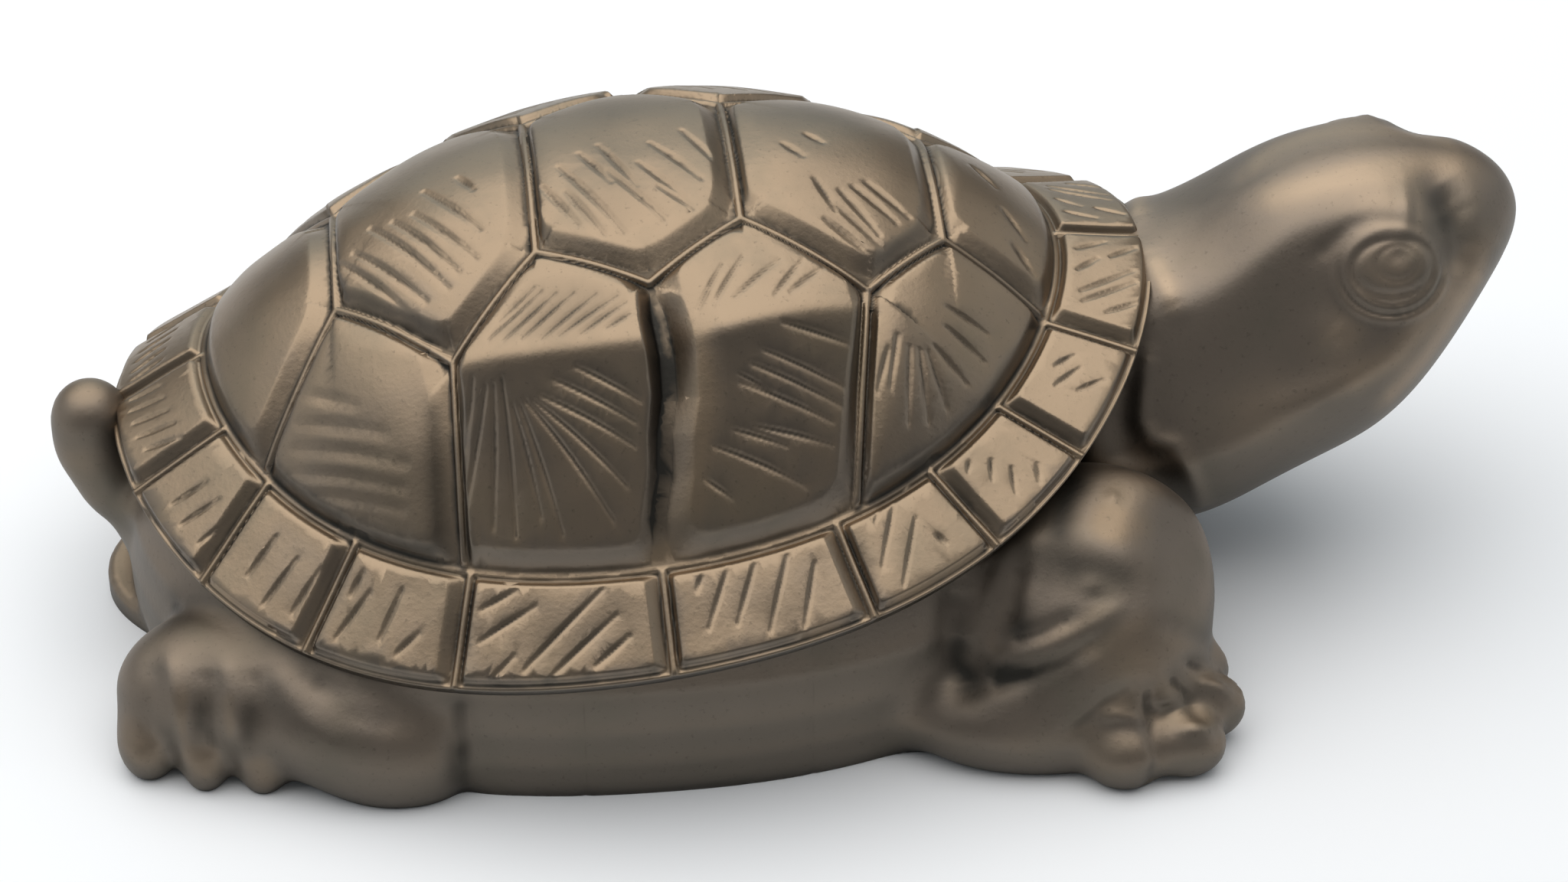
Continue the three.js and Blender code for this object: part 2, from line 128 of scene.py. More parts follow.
SIDE_STROKES = (
    # the two creased plates, above and below their ridges
    (-10.3, 13.6, -6.7, 11.6), (-9.3, 14.0, -5.7, 12.0), (-8.1, 14.3, -4.5, 12.3),
    (-6.8, 14.7, -3.0, 12.7), (-5.6, 14.8, -1.6, 13.1), (-4.2, 15.0, -1.0, 13.6),
    (-2.5, 15.0, -0.4, 14.2), (-9.6, 12.8, -7.2, 11.2), (-11.5, 15.3, -12.6, 18.2),
    (-10.7, 15.9, -13.1, 21.0), (-9.6, 15.9, -9.7, 22.7), (-9.1, 17.3, -7.9, 22.4),
    (-8.6, 17.4, -6.5, 23.4), (-8.2, 17.3, -3.0, 23.4), (-7.7, 17.4, -1.9, 22.2),
    (-7.2, 17.3, -1.2, 20.6), (-4.7, 16.5, -0.6, 18.7), (-6.2, 16.8, -1.0, 19.6),
    (-10.2, 16.0, -11.2, 22.0), (3.7, 14.4, 5.7, 11.6), (4.7, 14.3, 7.2, 11.0), (6.2, 13.8, 9.7, 11.1),
    (10.0, 13.3, 12.6, 11.4), (8.9, 13.6, 11.3, 11.0), (9.2, 15.1, 14.5, 15.6), (7.8, 16.5, 13.9, 17.7),
    (6.1, 17.7, 8.1, 18.3), (6.1, 18.1, 12.5, 19.3), (6.9, 20.0, 12.4, 20.3), (5.5, 20.2, 9.2, 20.7),
    (4.1, 20.9, 10.3, 22.2), (3.3, 22.2, 5.2, 23.0), (7.0, 17.2, 13.2, 18.5),
    # the front and the rear side plates
    (17.6, 14.2, 16.8, 17.0), (18.4, 14.6, 17.9, 18.4), (19.1, 14.6, 19.4, 18.0),
    (19.7, 14.5, 20.8, 17.0), (20.2, 14.1, 22.4, 15.4), (21.2, 12.8, 23.9, 13.8),
    (21.4, 11.6, 24.3, 12.2), (16.9, 15.0, 15.9, 17.4),
    # the rim, from the tail to the head
    (-36.7, 1.2, -34.4, 1.6), (-36.7, 2.4, -34.2, 3.0), (-36.5, 3.8, -33.9, 4.4),
    (-36.2, 5.2, -33.4, 5.8), (-35.6, 6.6, -33.0, 7.2), (-33.8, 11.6, -31.2, 11.4),
    (-33.2, 13.2, -30.4, 12.9), (-32.0, 14.9, -29.6, 14.4), (-28.6, 18.2, -26.4, 16.8),
    (-27.6, 20.2, -25.0, 18.6), (-25.6, 21.4, -23.4, 19.8), (-22.6, 23.8, -20.0, 22.2),
    (-19.6, 24.9, -17.8, 22.8), (-18.5, 26.0, -16.8, 25.4), (-21.4, 21.9, -20.4, 21.0),
    (-12.5, 25.4, -9.9, 25.0), (-12.7, 27.0, -8.7, 26.1), (-9.8, 29.2, -4.0, 26.1),
    (-8.1, 30.0, -3.2, 27.6), (-4.9, 30.0, -2.4, 28.8), (-12.4, 29.3, -10.4, 28.3),
    (2.8, 26.2, 2.4, 27.0), (4.6, 26.0, 3.0, 29.1), (6.5, 25.8, 5.0, 29.0), (8.8, 25.4, 7.2, 29.5),
    (10.7, 25.8, 9.6, 29.4), (16.7, 22.2, 15.4, 26.0), (18.1, 23.1, 16.8, 27.0),
    (15.8, 22.3, 15.2, 23.4), (19.4, 24.0, 20.1, 24.5), (22.4, 19.5, 22.2, 20.1),
    (24.0, 19.3, 23.9, 20.5), (25.4, 19.7, 25.5, 21.2), (27.3, 19.4, 27.3, 20.5),
    (29.6, 12.7, 31.1, 11.9), (29.4, 14.1, 31.4, 12.8), (31.0, 14.4, 33.0, 13.6),
    (32.5, 4.6, 34.2, 3.4), (32.4, 6.6, 36.6, 4.6), (32.4, 7.5, 36.6, 5.7), (34.0, 8.4, 36.8, 7.4),
    (32.8, 2.4, 35.0, 1.6), (35.2, 3.2, 37.2, 2.2),
)
# Soft waves across the rear side plate.
WAVES = (
    (-23.6, 10.5, -20.1, 13.0), (-24.1, 11.9, -18.2, 15.3), (-24.5, 13.0, -16.9, 17.3),
    (-25.0, 14.0, -17.2, 18.3), (-24.7, 15.2, -17.3, 19.2), (-22.0, 17.5, -17.3, 20.2),
)
WAVE_HALF = 0.75
WAVE_DEEP = 0.1

# Painted highlights and shade laid on the shell, each a stroke: how much lighter or darker it paints the
# surface, how wide, and its path. The body's and the head's further down are laid in the same way.
SHELL_PAINTED_LIGHT = (
    # painted shade on the rear edge of the creased plates, a painted highlight on the foot below them, and
    # painted shade and a painted highlight on the middle channel's two sides
    (-0.6, 0.8, ((-15.0, 15.4, 26.2), (-15.1, 18.9, 22.4), (-15.3, 21.6, 18.8))),
    (0.6, 1.0, ((13.6, 22.5, 20.3), (10.6, 23.5, 19.8), (7.5, 24.3, 19.5), (4.3, 24.8, 19.1),
        (1.1, 25.0, 18.8), (-1.6, 25.0, 18.5), (-4.3, 24.8, 18.3), (-7.5, 24.3, 18.0),
        (-10.6, 23.5, 17.8), (-13.1, 22.7, 17.7))),
    (-0.6, 0.75, ((1.0, 14.5, 32.2), (1.4, 17.9, 29.1), (1.0, 19.9, 26.8), (0.7, 21.8, 24.4),
        (0.1, 23.5, 21.9), (-0.4, 24.6, 20.2))),
    (0.45, 0.8, ((3.5, 15.1, 32.4), (3.8, 17.4, 30.3), (3.7, 19.8, 27.7), (3.2, 22.3, 24.5),
        (2.6, 24.3, 21.5))),
    # painted shade on the spine plates, the rim's side, the rear plates' faces and the rim again, and a
    # painted highlight on the rim at the tail
    (-0.2, 3.5, ((-3.4, 3.8, 36.1), (1.4, 4.3, 36.4))),
    (-0.2, 3.5, ((10.3, 3.1, 36.3), (16.1, 5.7, 34.6))),
    (-0.2, 1.6, ((4.8, 29.5, 15.5), (10.2, 28.8, 16.1))),
    (0.45, 1.6, ((-36.2, 4.8, 17.8), (-34.5, 1.6, 19.5))),
    (-0.25, 2.6, ((-8.9, 13.6, 30.7), (-5.7, 13.3, 31.9), (-2.3, 14.0, 32.1))),
    (-0.3, 4.5, ((-22.7, 13.3, 22.9), (-20.4, 16.0, 22.1), (-17.8, 18.5, 21.0))),
    (-0.15, 2.2, ((1.6, 29.3, 15.5), (-5.8, 28.8, 14.8), (-14.3, 26.8, 14.0))),
    (-0.15, 2.2, ((10.2, 28.5, 16.2), (16.9, 26.6, 17.1), (21.6, 24.4, 18.1))),
)

# ---- body, head, legs and tail ----
BODY_HALF_WIDTH = 29.2
BODY_FRONT = 36.5
BODY_REAR = 38.4
BODY_SQUARE = 0.88
BODY_LEVELS = ((0.97, -1.0), (0.99, 1.2), (1.0, 3.2), (1.0, 6.0), (0.985, 9.5), (0.93, 13.5))
PLASTRON_REAR = 40.4
PLASTRON_HALF_WIDTH = 17.0
PLASTRON_TOP = 1.9

# Rounded masses as centre and radii, for the turtle's left side.
SHOULDER = ((31.4, 18.8, 10.0), (9.3, 7.9, 7.6))
SHOULDER_FACETS = (  # flattened top and side, each as a point on it and its direction
    ((31.0, 20.0, 16.7), (0.06, 0.28, 0.96)), ((31.8, 22.9, 16.0), (-0.06, 0.90, 0.43)),
    ((34.9, 20.5, 16.6), (0.60, 0.55, 0.58)),
)
ARM = (((31.5, 22.6, 6.6), (8.2, 6.8, 6.9)), ((28.5, 25.2, 2.8), (11.3, 5.8, 4.6)))
FRONT_TOES = (
    ((38.8, 23.4, 3.3), (2.8, 1.9, 2.7)), ((39.3, 26.8, 2.8), (2.9, 1.9, 2.8)),
    ((37.3, 29.9, 2.2), (2.9, 2.3, 2.6)), ((32.8, 30.3, 2.1), (3.2, 2.7, 2.7)),
)
THIGH = (((-22.0, 19.6, 4.4), (10.0, 8.4, 6.0)), ((-31.0, 18.8, 4.7), (8.0, 5.9, 5.7)),
         ((-18.4, 24.2, 2.8), (5.9, 4.9, 4.8)))
REAR_TOES = (
    ((-36.9, 20.8, 2.0), (2.3, 3.3, 3.0)), ((-32.9, 22.6, 1.9), (1.9, 3.0, 3.0)),
    ((-28.8, 23.3, 1.8), (1.9, 3.0, 3.0)),
)
TAIL_STATIONS = (
    (-32.5, 5.4, 3.2), (-36.2, 7.2, 3.1), (-38.6, 10.0, 3.1), (-40.0, 13.4, 3.1), (-40.3, 15.9, 2.8),
)
TAIL_END = ((-40.3, 17.1, 2.4), (-40.3, 18.1, 1.6), (-40.3, 18.6, 0.5))
SLANT = (0.0, 0.804, 0.595)  # outwards and upwards: marks are drawn on the surface from this side

# Marks worked into the surface: how far it is raised, how wide the mark is, and its path.
BODY_MARKS = (
    # the fold of skin round the elbow, and the hollows beside it
    (0.1, 0.6, ((24.9, 22.0, 14.6), (24.0, 22.8, 12.6), (23.2, 23.3, 10.8), (22.5, 24.2, 8.7),
        (23.6, 25.2, 7.5),
                 (25.9, 26.9, 9.0), (27.9, 27.6, 10.2), (29.5, 27.6, 11.0), (32.5, 26.6, 12.6))),
    (-0.35, 0.9, ((25.9, 22.6, 14.0), (25.1, 23.2, 11.8), (24.6, 24.0, 9.6))),
    (-0.22, 0.6, ((24.8, 25.4, 9.2), (26.8, 26.5, 10.6), (29.0, 26.6, 11.9))),
    (-0.3, 0.9, ((23.0, 26.2, 6.0), (25.6, 27.6, 7.7), (28.3, 28.3, 9.2), (31.0, 28.0, 10.8))),
    (-0.4, 1.4, ((21.4, 24.0, 13.0), (20.9, 25.0, 9.6), (21.4, 26.0, 6.0))),
    (0.1, 0.7, ((30.6, 25.7, 13.9),)),
    (-0.06, 0.5, ((30.9, 26.2, 13.2),)),
    (0.15, 0.45, ((33.1, 19.7, 17.0),)),
    # the front toes: knuckles, and the creases between them
    (-0.25, 0.8, ((28.6, 30.2, 4.4), (31.3, 29.7, 6.4), (33.4, 29.0, 7.0))),
    (0.245, 0.6, ((30.9, 30.1, 5.6), (32.4, 30.0, 5.3), (33.8, 29.9, 4.6))),
    (-0.3, 0.65, ((34.3, 29.2, 6.8), (34.4, 30.4, 4.2), (34.9, 32.2, 3.0), (34.2, 32.6, 0.2))),
    (0.245, 0.5, ((34.8, 29.4, 5.9), (36.0, 28.9, 5.7), (37.3, 28.4, 5.2))),
    (0.245, 0.55, ((36.8, 31.2, 4.6), (38.0, 30.8, 4.3), (39.2, 30.4, 3.9))),
    (-0.3, 0.65, ((36.2, 27.9, 6.9), (38.0, 29.4, 4.6), (40.0, 30.4, 2.6))),
    (0.21, 0.5, ((38.4, 27.4, 5.8), (39.6, 27.2, 5.3), (40.6, 27.2, 4.6))),
    (-0.3, 0.65, ((37.4, 26.6, 7.0), (40.4, 25.4, 4.6), (42.0, 25.0, 2.4))),
    (-0.2, 0.8, ((35.8, 25.0, 9.2), (38.0, 24.4, 7.4), (39.6, 24.0, 6.2))),
    # the rear toes: hollows above each, with ribs between them
    (-0.2, 1.0, ((-36.0, 20.8, 9.0), (-36.5, 22.4, 6.4), (-37.1, 23.6, 3.4))),
    (-0.25, 0.9, ((-32.2, 22.6, 9.6), (-32.2, 24.2, 6.4), (-32.3, 25.4, 3.4))),
    (-0.25, 1.0, ((-28.8, 23.6, 10.2), (-28.3, 25.4, 7.0), (-28.0, 26.6, 3.4))),
    (-0.15, 1.0, ((-25.0, 25.0, 9.8), (-22.6, 26.6, 7.8), (-19.0, 27.6, 7.0))),
    (0.15, 0.6, ((-34.9, 21.4, 9.4), (-34.4, 23.4, 6.2), (-34.1, 25.0, 2.4))),
    (0.15, 0.6, ((-30.8, 22.6, 9.8), (-30.2, 24.8, 6.4), (-29.8, 26.2, 2.4))),
    (0.12, 0.8, ((-27.0, 24.2, 10.2), (-25.8, 26.2, 7.4), (-23.0, 27.8, 5.4))),
    (-0.3, 1.0, ((-14.6, 27.2, 9.0), (-14.5, 28.2, 4.0), (-14.6, 28.6, -0.5))),
    # the faint lines down the flank
    (-0.06, 0.25, ((-5.9, 29.0, 13.0), (-5.9, 29.0, -2.0))),
    (-0.06, 0.25, ((10.4, 28.4, 13.0), (10.4, 28.4, -2.0))),
)

# Painted highlights and shade laid on the body in the same way.
BODY_PAINTED_LIGHT = (
    # painted highlight on the shoulder's top and painted shade on the side under it
    (0.9, 1.5, ((33.3, 20.2, 17.0), (32.6, 21.3, 15.5), (34.0, 21.4, 15.5))),
    (-0.7, 1.7, ((28.2, 23.2, 13.5), (30.7, 23.2, 13.5), (34.5, 23.7, 12.7))),
    # painted highlight on the fold round the elbow and painted shade in the hollows beside it
    (0.12, 0.5, ((26.7, 23.9, 12.5), (24.4, 24.8, 11.3), (23.6, 26.2, 9.3), (24.3, 26.8, 8.6),
        (26.4, 27.0, 8.3),
                (30.3, 26.4, 9.1), (34.3, 25.5, 10.3))),
    (-0.7, 1.0, ((25.8, 24.8, 11.2), (25.1, 26.1, 9.5))),
    (-0.7, 0.9, ((23.6, 27.4, 7.8), (26.3, 27.6, 7.4), (29.7, 27.2, 8.0))),
    (-0.5, 0.9, ((21.7, 24.7, 11.4), (21.2, 26.6, 8.8), (22.2, 28.0, 7.0))),
    # painted shade under the shell's rim and behind the elbow, a painted highlight on the forearm, and
    # painted shade below the elbow
    (-0.9, 1.3, ((28.2, 21.8, 14.9), (29.0, 20.9, 16.2), (29.7, 20.0, 17.4), (31.2, 18.8, 19.0))),
    (-0.3, 1.8, ((20.8, 26.7, 6.4), (20.7, 27.7, 5.1), (22.0, 28.2, 4.4))),
    (0.5, 3, ((30.9, 26.6, 8.6), (35.2, 27.4, 7.5))),
    (-0.6, 2.2, ((20.3, 27.6, 6.5), (25.2, 27.8, 6.3))),
    # painted shade before the thigh, and a painted highlight on the tail
    (-0.6, 0.9, ((-14.8, 26.7, 4.8), (-14.8, 28.8, 1.9))),
    (0.35, 2.5, ((-42.2, -1.0, 13.4), (-41.2, 1.4, 10.1))),
    # painted highlights on the front toes
    (0.25, 0.8, ((34.4, 29.5, 4.7), (36.1, 29.4, 4.8))),
    (0.25, 0.8, ((39.0, 29.0, 5.3), (40.0, 29.4, 4.8))),
    # painted shade on the side and the top of the thigh
    (-0.4, 1.8, ((-29.1, 23.0, 7.6), (-24.3, 24.4, 5.8), (-21.7, 25.0, 5.0))),
    (-0.5, 2.0, ((-36.4, 18.1, 11.3), (-32.6, 18.7, 10.4), (-28.4, 19.4, 9.5), (-24.1, 20.5, 8.0))),
    # painted shade in the hollows and painted highlights on the ribs above the rear toes
    (-0.55, 0.8, ((-32.7, 21.8, 6.2), (-33.0, 23.4, 4.1))),
    (0.35, 0.6, ((-34.0, 21.4, 6.8), (-34.2, 23.4, 4.1))),
    (-0.55, 0.8, ((-29.2, 22.0, 6.0), (-29.7, 23.9, 3.4))),
    (0.35, 0.6, ((-30.8, 21.6, 6.6), (-30.7, 23.7, 3.7))),
)

HEAD_STATIONS = (
    (30, 14.5, 11.5, 10.0), (36, 14.4, 13.2, 11.4), (42, 15.0, 13.4, 12.2), (47, 18.4, 13.2, 12.7),
    (51, 20.2, 12.7, 12.5), (55, 21.4, 12.1, 11.7), (58, 22.7, 10.6, 10.1), (60.5, 24.2, 8.7, 8.1),
    (62.8, 25.6, 6.5, 6.1), (64.8, 26.6, 4.2, 3.9), (66.0, 26.9, 2.3, 2.1),
)
NOSE_TIP = 66.6
HEAD_SIDE = ((47.4, 9.6, 23.8), (-0.19, 0.85, 0.49))  # a point on the flat side, and outwards from it
EYE = (55.0, 9.3, 28.2)
EYE_HALF_SIZE = (3.9, 3.5)
EYE_SWELL = 0.5
EYE_SWELL_REACH = 0.95  # this and the values below are shares of the eye's half size
ALMOND_REACH = 0.68
ALMOND_SQUASH = 1.3
ALMOND_RISE = 0.05
BALL_RISE = 0.12
PUPIL = (0.12, 0.3)
IRIS = (0.08, 0.12)
EYE_RINGS = {  # how much each ring is raised or cut, how far out it lies, and its half width
    "ball": (-0.09, 1.08, 0.13), "lid": (0.08, 0.84, 0.09), "lower groove": (-0.14, 0.95, 0.07),
    "outer lid": (0.09, 1.06, 0.09), "pupil": (-0.14, 0.0, 0.2), "iris": (-0.07, 0.36, 0.06),
    "fold": (-0.08, 0.72, 0.05),
}
HEAD_MARKS = (
    # brow, and the crease under it
    (0.6, 1.8, ((55.4, 6.0, 31.0), (57.0, 6.2, 30.8))),
    (-0.12, 0.7, ((49.6, 8.6, 29.2), (52.2, 7.0, 30.5), (53.9, 6.7, 30.8), (55.8, 7.1, 30.5),
        (58.6, 8.6, 29.0))),
    # hollows behind, before and under the eye
    (-0.7, 1.6, ((59.3, 3.6, 31.6), (60.3, 5.6, 30.4), (60.5, 7.2, 28.6), (60.0, 8.8, 26.6))),
    (-0.12, 2.0, ((48.6, 12.6, 22.0), (52.6, 12.3, 22.8), (56.3, 11.2, 24.8), (59.2, 9.4, 26.4))),
    (0.2, 1.3, ((50.2, 11.6, 24.8), (51.4, 11.9, 23.8))),
    # the jaw
    (0.15, 1.4, ((45.5, 13.0, 18.6), (51.1, 12.6, 20.2), (55.3, 11.7, 21.4), (58.5, 9.9, 23.8),
        (60.8, 7.8, 25.8),
                (64.1, 4.6, 27.2))),
    # the folds of the neck
    (0.3, 1.0, ((38.3, 5.1, 28.0), (38.7, 6.2, 26.4), (39.4, 7.4, 24.8))),
    (0.2, 0.7, ((37.4, 9.4, 22.0), (36.8, 11.4, 19.8), (36.6, 12.2, 18.0), (37.4, 12.8, 16.6),
        (38.9, 13.0, 16.2),
                (39.8, 13.2, 14.1), (41.8, 11.4, 8.5))),
    (-0.5, 1.4, ((35.6, 10.4, 21.6), (35.1, 12.0, 18.4), (35.4, 13.0, 16.0), (37.4, 13.2, 14.4),
        (38.4, 13.2, 12.0),
                 (40.0, 11.8, 7.5))),
)
# Painted highlights and shade laid on the head in the same way.
HEAD_PAINTED_LIGHT = (
    # painted shade on the neck and the crown, and a painted highlight band along the brow
    (-0.1, 3.0, ((47.9, 7.6, 28.6), (45.7, 9.7, 25.8), (43.0, 10.9, 24.2), (40.5, 13.4, 20.7))),
    (-0.35, 3.2, ((41.1, 3.4, 30.2), (43.6, 4.4, 28.8))),
    (-0.3, 2.2, ((40.4, 4.2, 32.4), (44.2, 3.0, 34.0), (48.5, 2.3, 35.0), (52.8, 2.1, 35.3),
        (57.4, 2.3, 35.0), (61.4, 2.8, 34.4))),
    (0.8, 1.2, ((46.2, 5.0, 32.3), (49.8, 4.6, 32.9), (53.8, 4.2, 33.4), (58.1, 4.0, 33.7),
        (62.1, 4.0, 33.8))),
    # painted highlights on the folds at the neck's root, over the eye, and along the cheek
    (0.7, 0.7, ((38.4, 5.1, 27.9), (38.9, 6.2, 26.4), (39.3, 7.6, 24.6))),
    (0.35, 1.2, ((52.4, 5.5, 31.4), (55.8, 5.4, 31.5))),
    (0.4, 1.1, ((51.2, 13.4, 20.8), (55.1, 12.1, 22.5), (60.6, 8.5, 27.4), (62.5, 7.3, 29.0))),
    # painted shade in the hollows before and below the eye, and painted highlights on the cheek, the jaw
    # and the eye
    (-0.6, 1.5, ((58.5, 5.1, 31.9), (59.6, 6.0, 30.7), (59.8, 7.0, 29.4))),
    (-0.15, 1.5, ((52.0, 11.7, 23.0), (56.0, 11.0, 23.9), (58.5, 9.1, 26.5))),
    (0.3, 2.4, ((42.0, 10.9, 17.5), (47.7, 10.7, 17.7))),
    (0.5, 0.8, ((54.7, 11.9, 18.1), (57.6, 10.1, 20.5), (60.5, 7.8, 23.6), (62.4, 6.4, 25.6))),
    (0.55, 1.7, ((51.1, 11.3, 23.5),)),
    (0.3, 3, ((54.7, 8.4, 27.5),)),
)
VOXEL = {"body": 0.355, "head": 0.24}
PRESS_SOFT = 0.35  # how softly the head's flat sides meet its round ones
SETTLE_STEP = 0.05
SETTLE_ROUNDS = 4
SETTLE_REACH = 0.8  # the farthest a point moves in one round

# Widths of the fillets where masses melt together.
PLASTRON_MELT = 0.6
TAIL_JOINT_MELT = 0.5
FACET_MELT = 1.1
LIMB_MELT = 3.5
FRONT_TOE_MELT = 1.3
REAR_TOE_MELT = 1.2
SHOULDER_MELT = 2.6
THIGH_MELT = 1.4
TAIL_MELT = 2.0

# ---- metal ----
# The rubbed colours also serve as painted highlights, and the dull one partly paints shade on the flanks.
# The dark patina is both the patina of hollows and specks and the painted shade of the strokes.
BRIGHT_BRONZE = (0.37, 0.28, 0.195, 1)
RUBBED_AND_HIGHLIGHT_BRONZE = (0.30, 0.222, 0.148, 1)
BROWN_BRONZE = (0.205, 0.167, 0.132, 1)
DULL_AND_SHADED_BRONZE = (0.148, 0.128, 0.105, 1)
DARK_PATINA_AND_SHADE = (0.039, 0.036, 0.031, 1)
GREEN_PATINA = (0.125, 0.122, 0.092, 1)
# Edges get a painted highlight on top and painted shade below.
EDGE_HIGHLIGHT_AND_SHADE = 1.9  # how much lighter an edge is on top, and darker below, than the surface round it
PROUD_SCALE = 5.0  # how fast a place that stands proud gets rubbed
PATCH_SCALE = 150.0  # sizes of the noises: patches of patina, grains and shallow pits
GRAIN_SCALE = 2600.0
PIT_SCALE = 900.0
BUMP_STRENGTH = 0.4
BUMP_DISTANCE = 0.00006
# Each piece's look: how far upwards a place faces where rubbing starts and where it is full (rubbing that
# is partly a painted highlight from above), how rough the metal is, how dark its hollows are, and its
# rubbed colour, which the painted highlights take too.
SHELL_LOOK = (0.3, 0.8, 0.35, 0.8, RUBBED_AND_HIGHLIGHT_BRONZE)
BODY_LOOK = (0.7, 1.4, 0.46, 0.5, RUBBED_AND_HIGHLIGHT_BRONZE)
HEAD_LOOK = (0.7, 1.4, 0.44, 0.5, BRIGHT_BRONZE)
# The same levelling, six times as far, gives the broad facing that the edges' painted highlight and shade
# are measured from.
SHELL_WEAR_AND_SHADE_REACH = 8  # how many edges away a surface is levelled to find what stands proud of it
BODY_WEAR_AND_SHADE_REACH = 6

# ---- camera and light ----
AIM = (11.465, 0.0, 9.319)
DISTANCE = 308.22
AZIMUTH = -6.314
ELEVATION = 36.5
LENS = 92.83
SENSOR = 36.0
WORLD_COLOUR = (0.94, 1.0, 1.05, 1)
WORLD_STRENGTH = 0.18
FLOOR_SIZE = 6
FLOOR_COLOUR = (0.9, 0.9, 0.9, 1)
FLOOR_ROUGH = 0.9
PANELS = (  # name, place, what it faces, size, brightness and colour, in metres
    ("overhead", (-0.1, 0.1, 0.45), (-0.1, 0.1, 0.0), (0.85, 0.76), 1.8, (1.0, 1.0, 1.0)),
    ("back", (-0.02, 0.5, 0.27), (-0.02, 0.0, 0.05), (0.5, 0.4), 0.62, (0.8, 1.0, 1.14)),
    ("side", (-0.45, 0.05, 0.2), (0.0, 0.05, 0.03), (0.6, 0.3), 0.55, (0.9, 0.98, 1.06)),
    ("side", (0.45, 0.05, 0.2), (0.0, 0.05, 0.03), (0.6, 0.3), 0.55, (0.9, 0.98, 1.06)),
)


# ---- small helpers for modelling ----
def deselect():
    bpy.ops.object.select_all(action="DESELECT")


def only(obj):
    deselect()
    obj.select_set(True)
    bpy.context.view_layer.objects.active = obj


def open_edit(obj):
    only(obj)
    bpy.ops.object.mode_set(mode="EDIT")


def close_edit():
    """Turns every face outwards and leaves edit mode."""
    bpy.ops.mesh.select_all(action="SELECT")
    bpy.ops.mesh.normals_make_consistent(inside=False)
    bpy.ops.object.mode_set(mode="OBJECT")


def extrude(along, up):
    bpy.ops.mesh.extrude_region_move(TRANSFORM_OT_translate={"value": (along * MM, 0, up * MM)})


def apply_place(obj):
    only(obj)
    bpy.ops.object.transform_apply(location=True, rotation=True, scale=True)


def apply_modifier(obj, kind, **settings):
    only(obj)
    modifier = obj.modifiers.new(kind.title(), kind)
    for name, value in settings.items():
        setattr(modifier, name, value)
    bpy.ops.object.modifier_apply(modifier=modifier.name)


def join(name, objects):
    deselect()
    for obj in objects:
        obj.select_set(True)
    bpy.context.view_layer.objects.active = objects[0]
    bpy.ops.object.join()
    objects[0].name = name
    return objects[0]


def vertices_of(obj):
    flat = np.empty(len(obj.data.vertices) * 3)
    obj.data.vertices.foreach_get("co", flat)
    return flat.reshape(-1, 3)


def move_vertices(obj, places):
    obj.data.vertices.foreach_set("co", places.reshape(-1))
    obj.data.update()


def normals_of(obj):
    flat = np.empty(len(obj.data.vertices) * 3)
    obj.data.vertex_normals.foreach_get("vector", flat)
    return flat.reshape(-1, 3)


def write_attribute(obj, name, values):
    attribute = obj.data.attributes.get(name) or obj.data.attributes.new(name, "FLOAT", "POINT")
    attribute.data.foreach_set("value", values.astype(np.float32))


def smoothstep(value):
    t = np.clip(value, 0.0, 1.0)
    return t * t * (3.0 - 2.0 * t)


def soft_minimum(values, softness):
    lowest = np.min(values, axis=0)
    total = sum(np.exp(-(value - lowest) / softness) for value in values)
    return lowest - softness * np.log(total)


def mirrored(point, side):
    return (point[0], side * point[1], point[2])


# ---- carapace ----
def share_and_along(x, y):
    share = np.hypot(x / SHELL_HALF_LENGTH, y / SHELL_HALF_WIDTH)
    along = np.where(share > 1e-6, x / SHELL_HALF_LENGTH / np.maximum(share, 1e-6), 0.0)
    return share, along


def skirt_height(along):
    first, second, fourth = SKIRT_RISE
    return SKIRT_SIDE + first * along + second * along**2 + fourth * along**4


def ring_height(along):
    first, second, fourth = RING_RISE
    return RING_SIDE + first * along + second * along**2 + fourth * along**4


def shell_height(x, y):
    share, along = share_and_along(x, y)
    ring = ring_height(along)
    top = SHELL_TOP + DOME_TILT * x
    dome = ring + (top - ring) * (1.0 - np.minimum(share / RING_AT, 1.0) ** DOME_POWER)
    skirt = ring + (skirt_height(along) - ring) * (share - RING_AT) / (1.0 - RING_AT)
    return np.where(share < RING_AT, dome, skirt)


def shell_slope(x, y):
    along_x = (shell_height(x + SLOPE_STEP, y) - shell_height(x - SLOPE_STEP, y)) / (2 * SLOPE_STEP)
    along_y = (shell_height(x, y + SLOPE_STEP) - shell_height(x, y - SLOPE_STEP)) / (2 * SLOPE_STEP)
    return along_x, along_y


def on_ellipse(share, degrees):
    turn = math.radians(degrees)
    return (SHELL_HALF_LENGTH * share * math.cos(turn), SHELL_HALF_WIDTH * share * math.sin(turn))


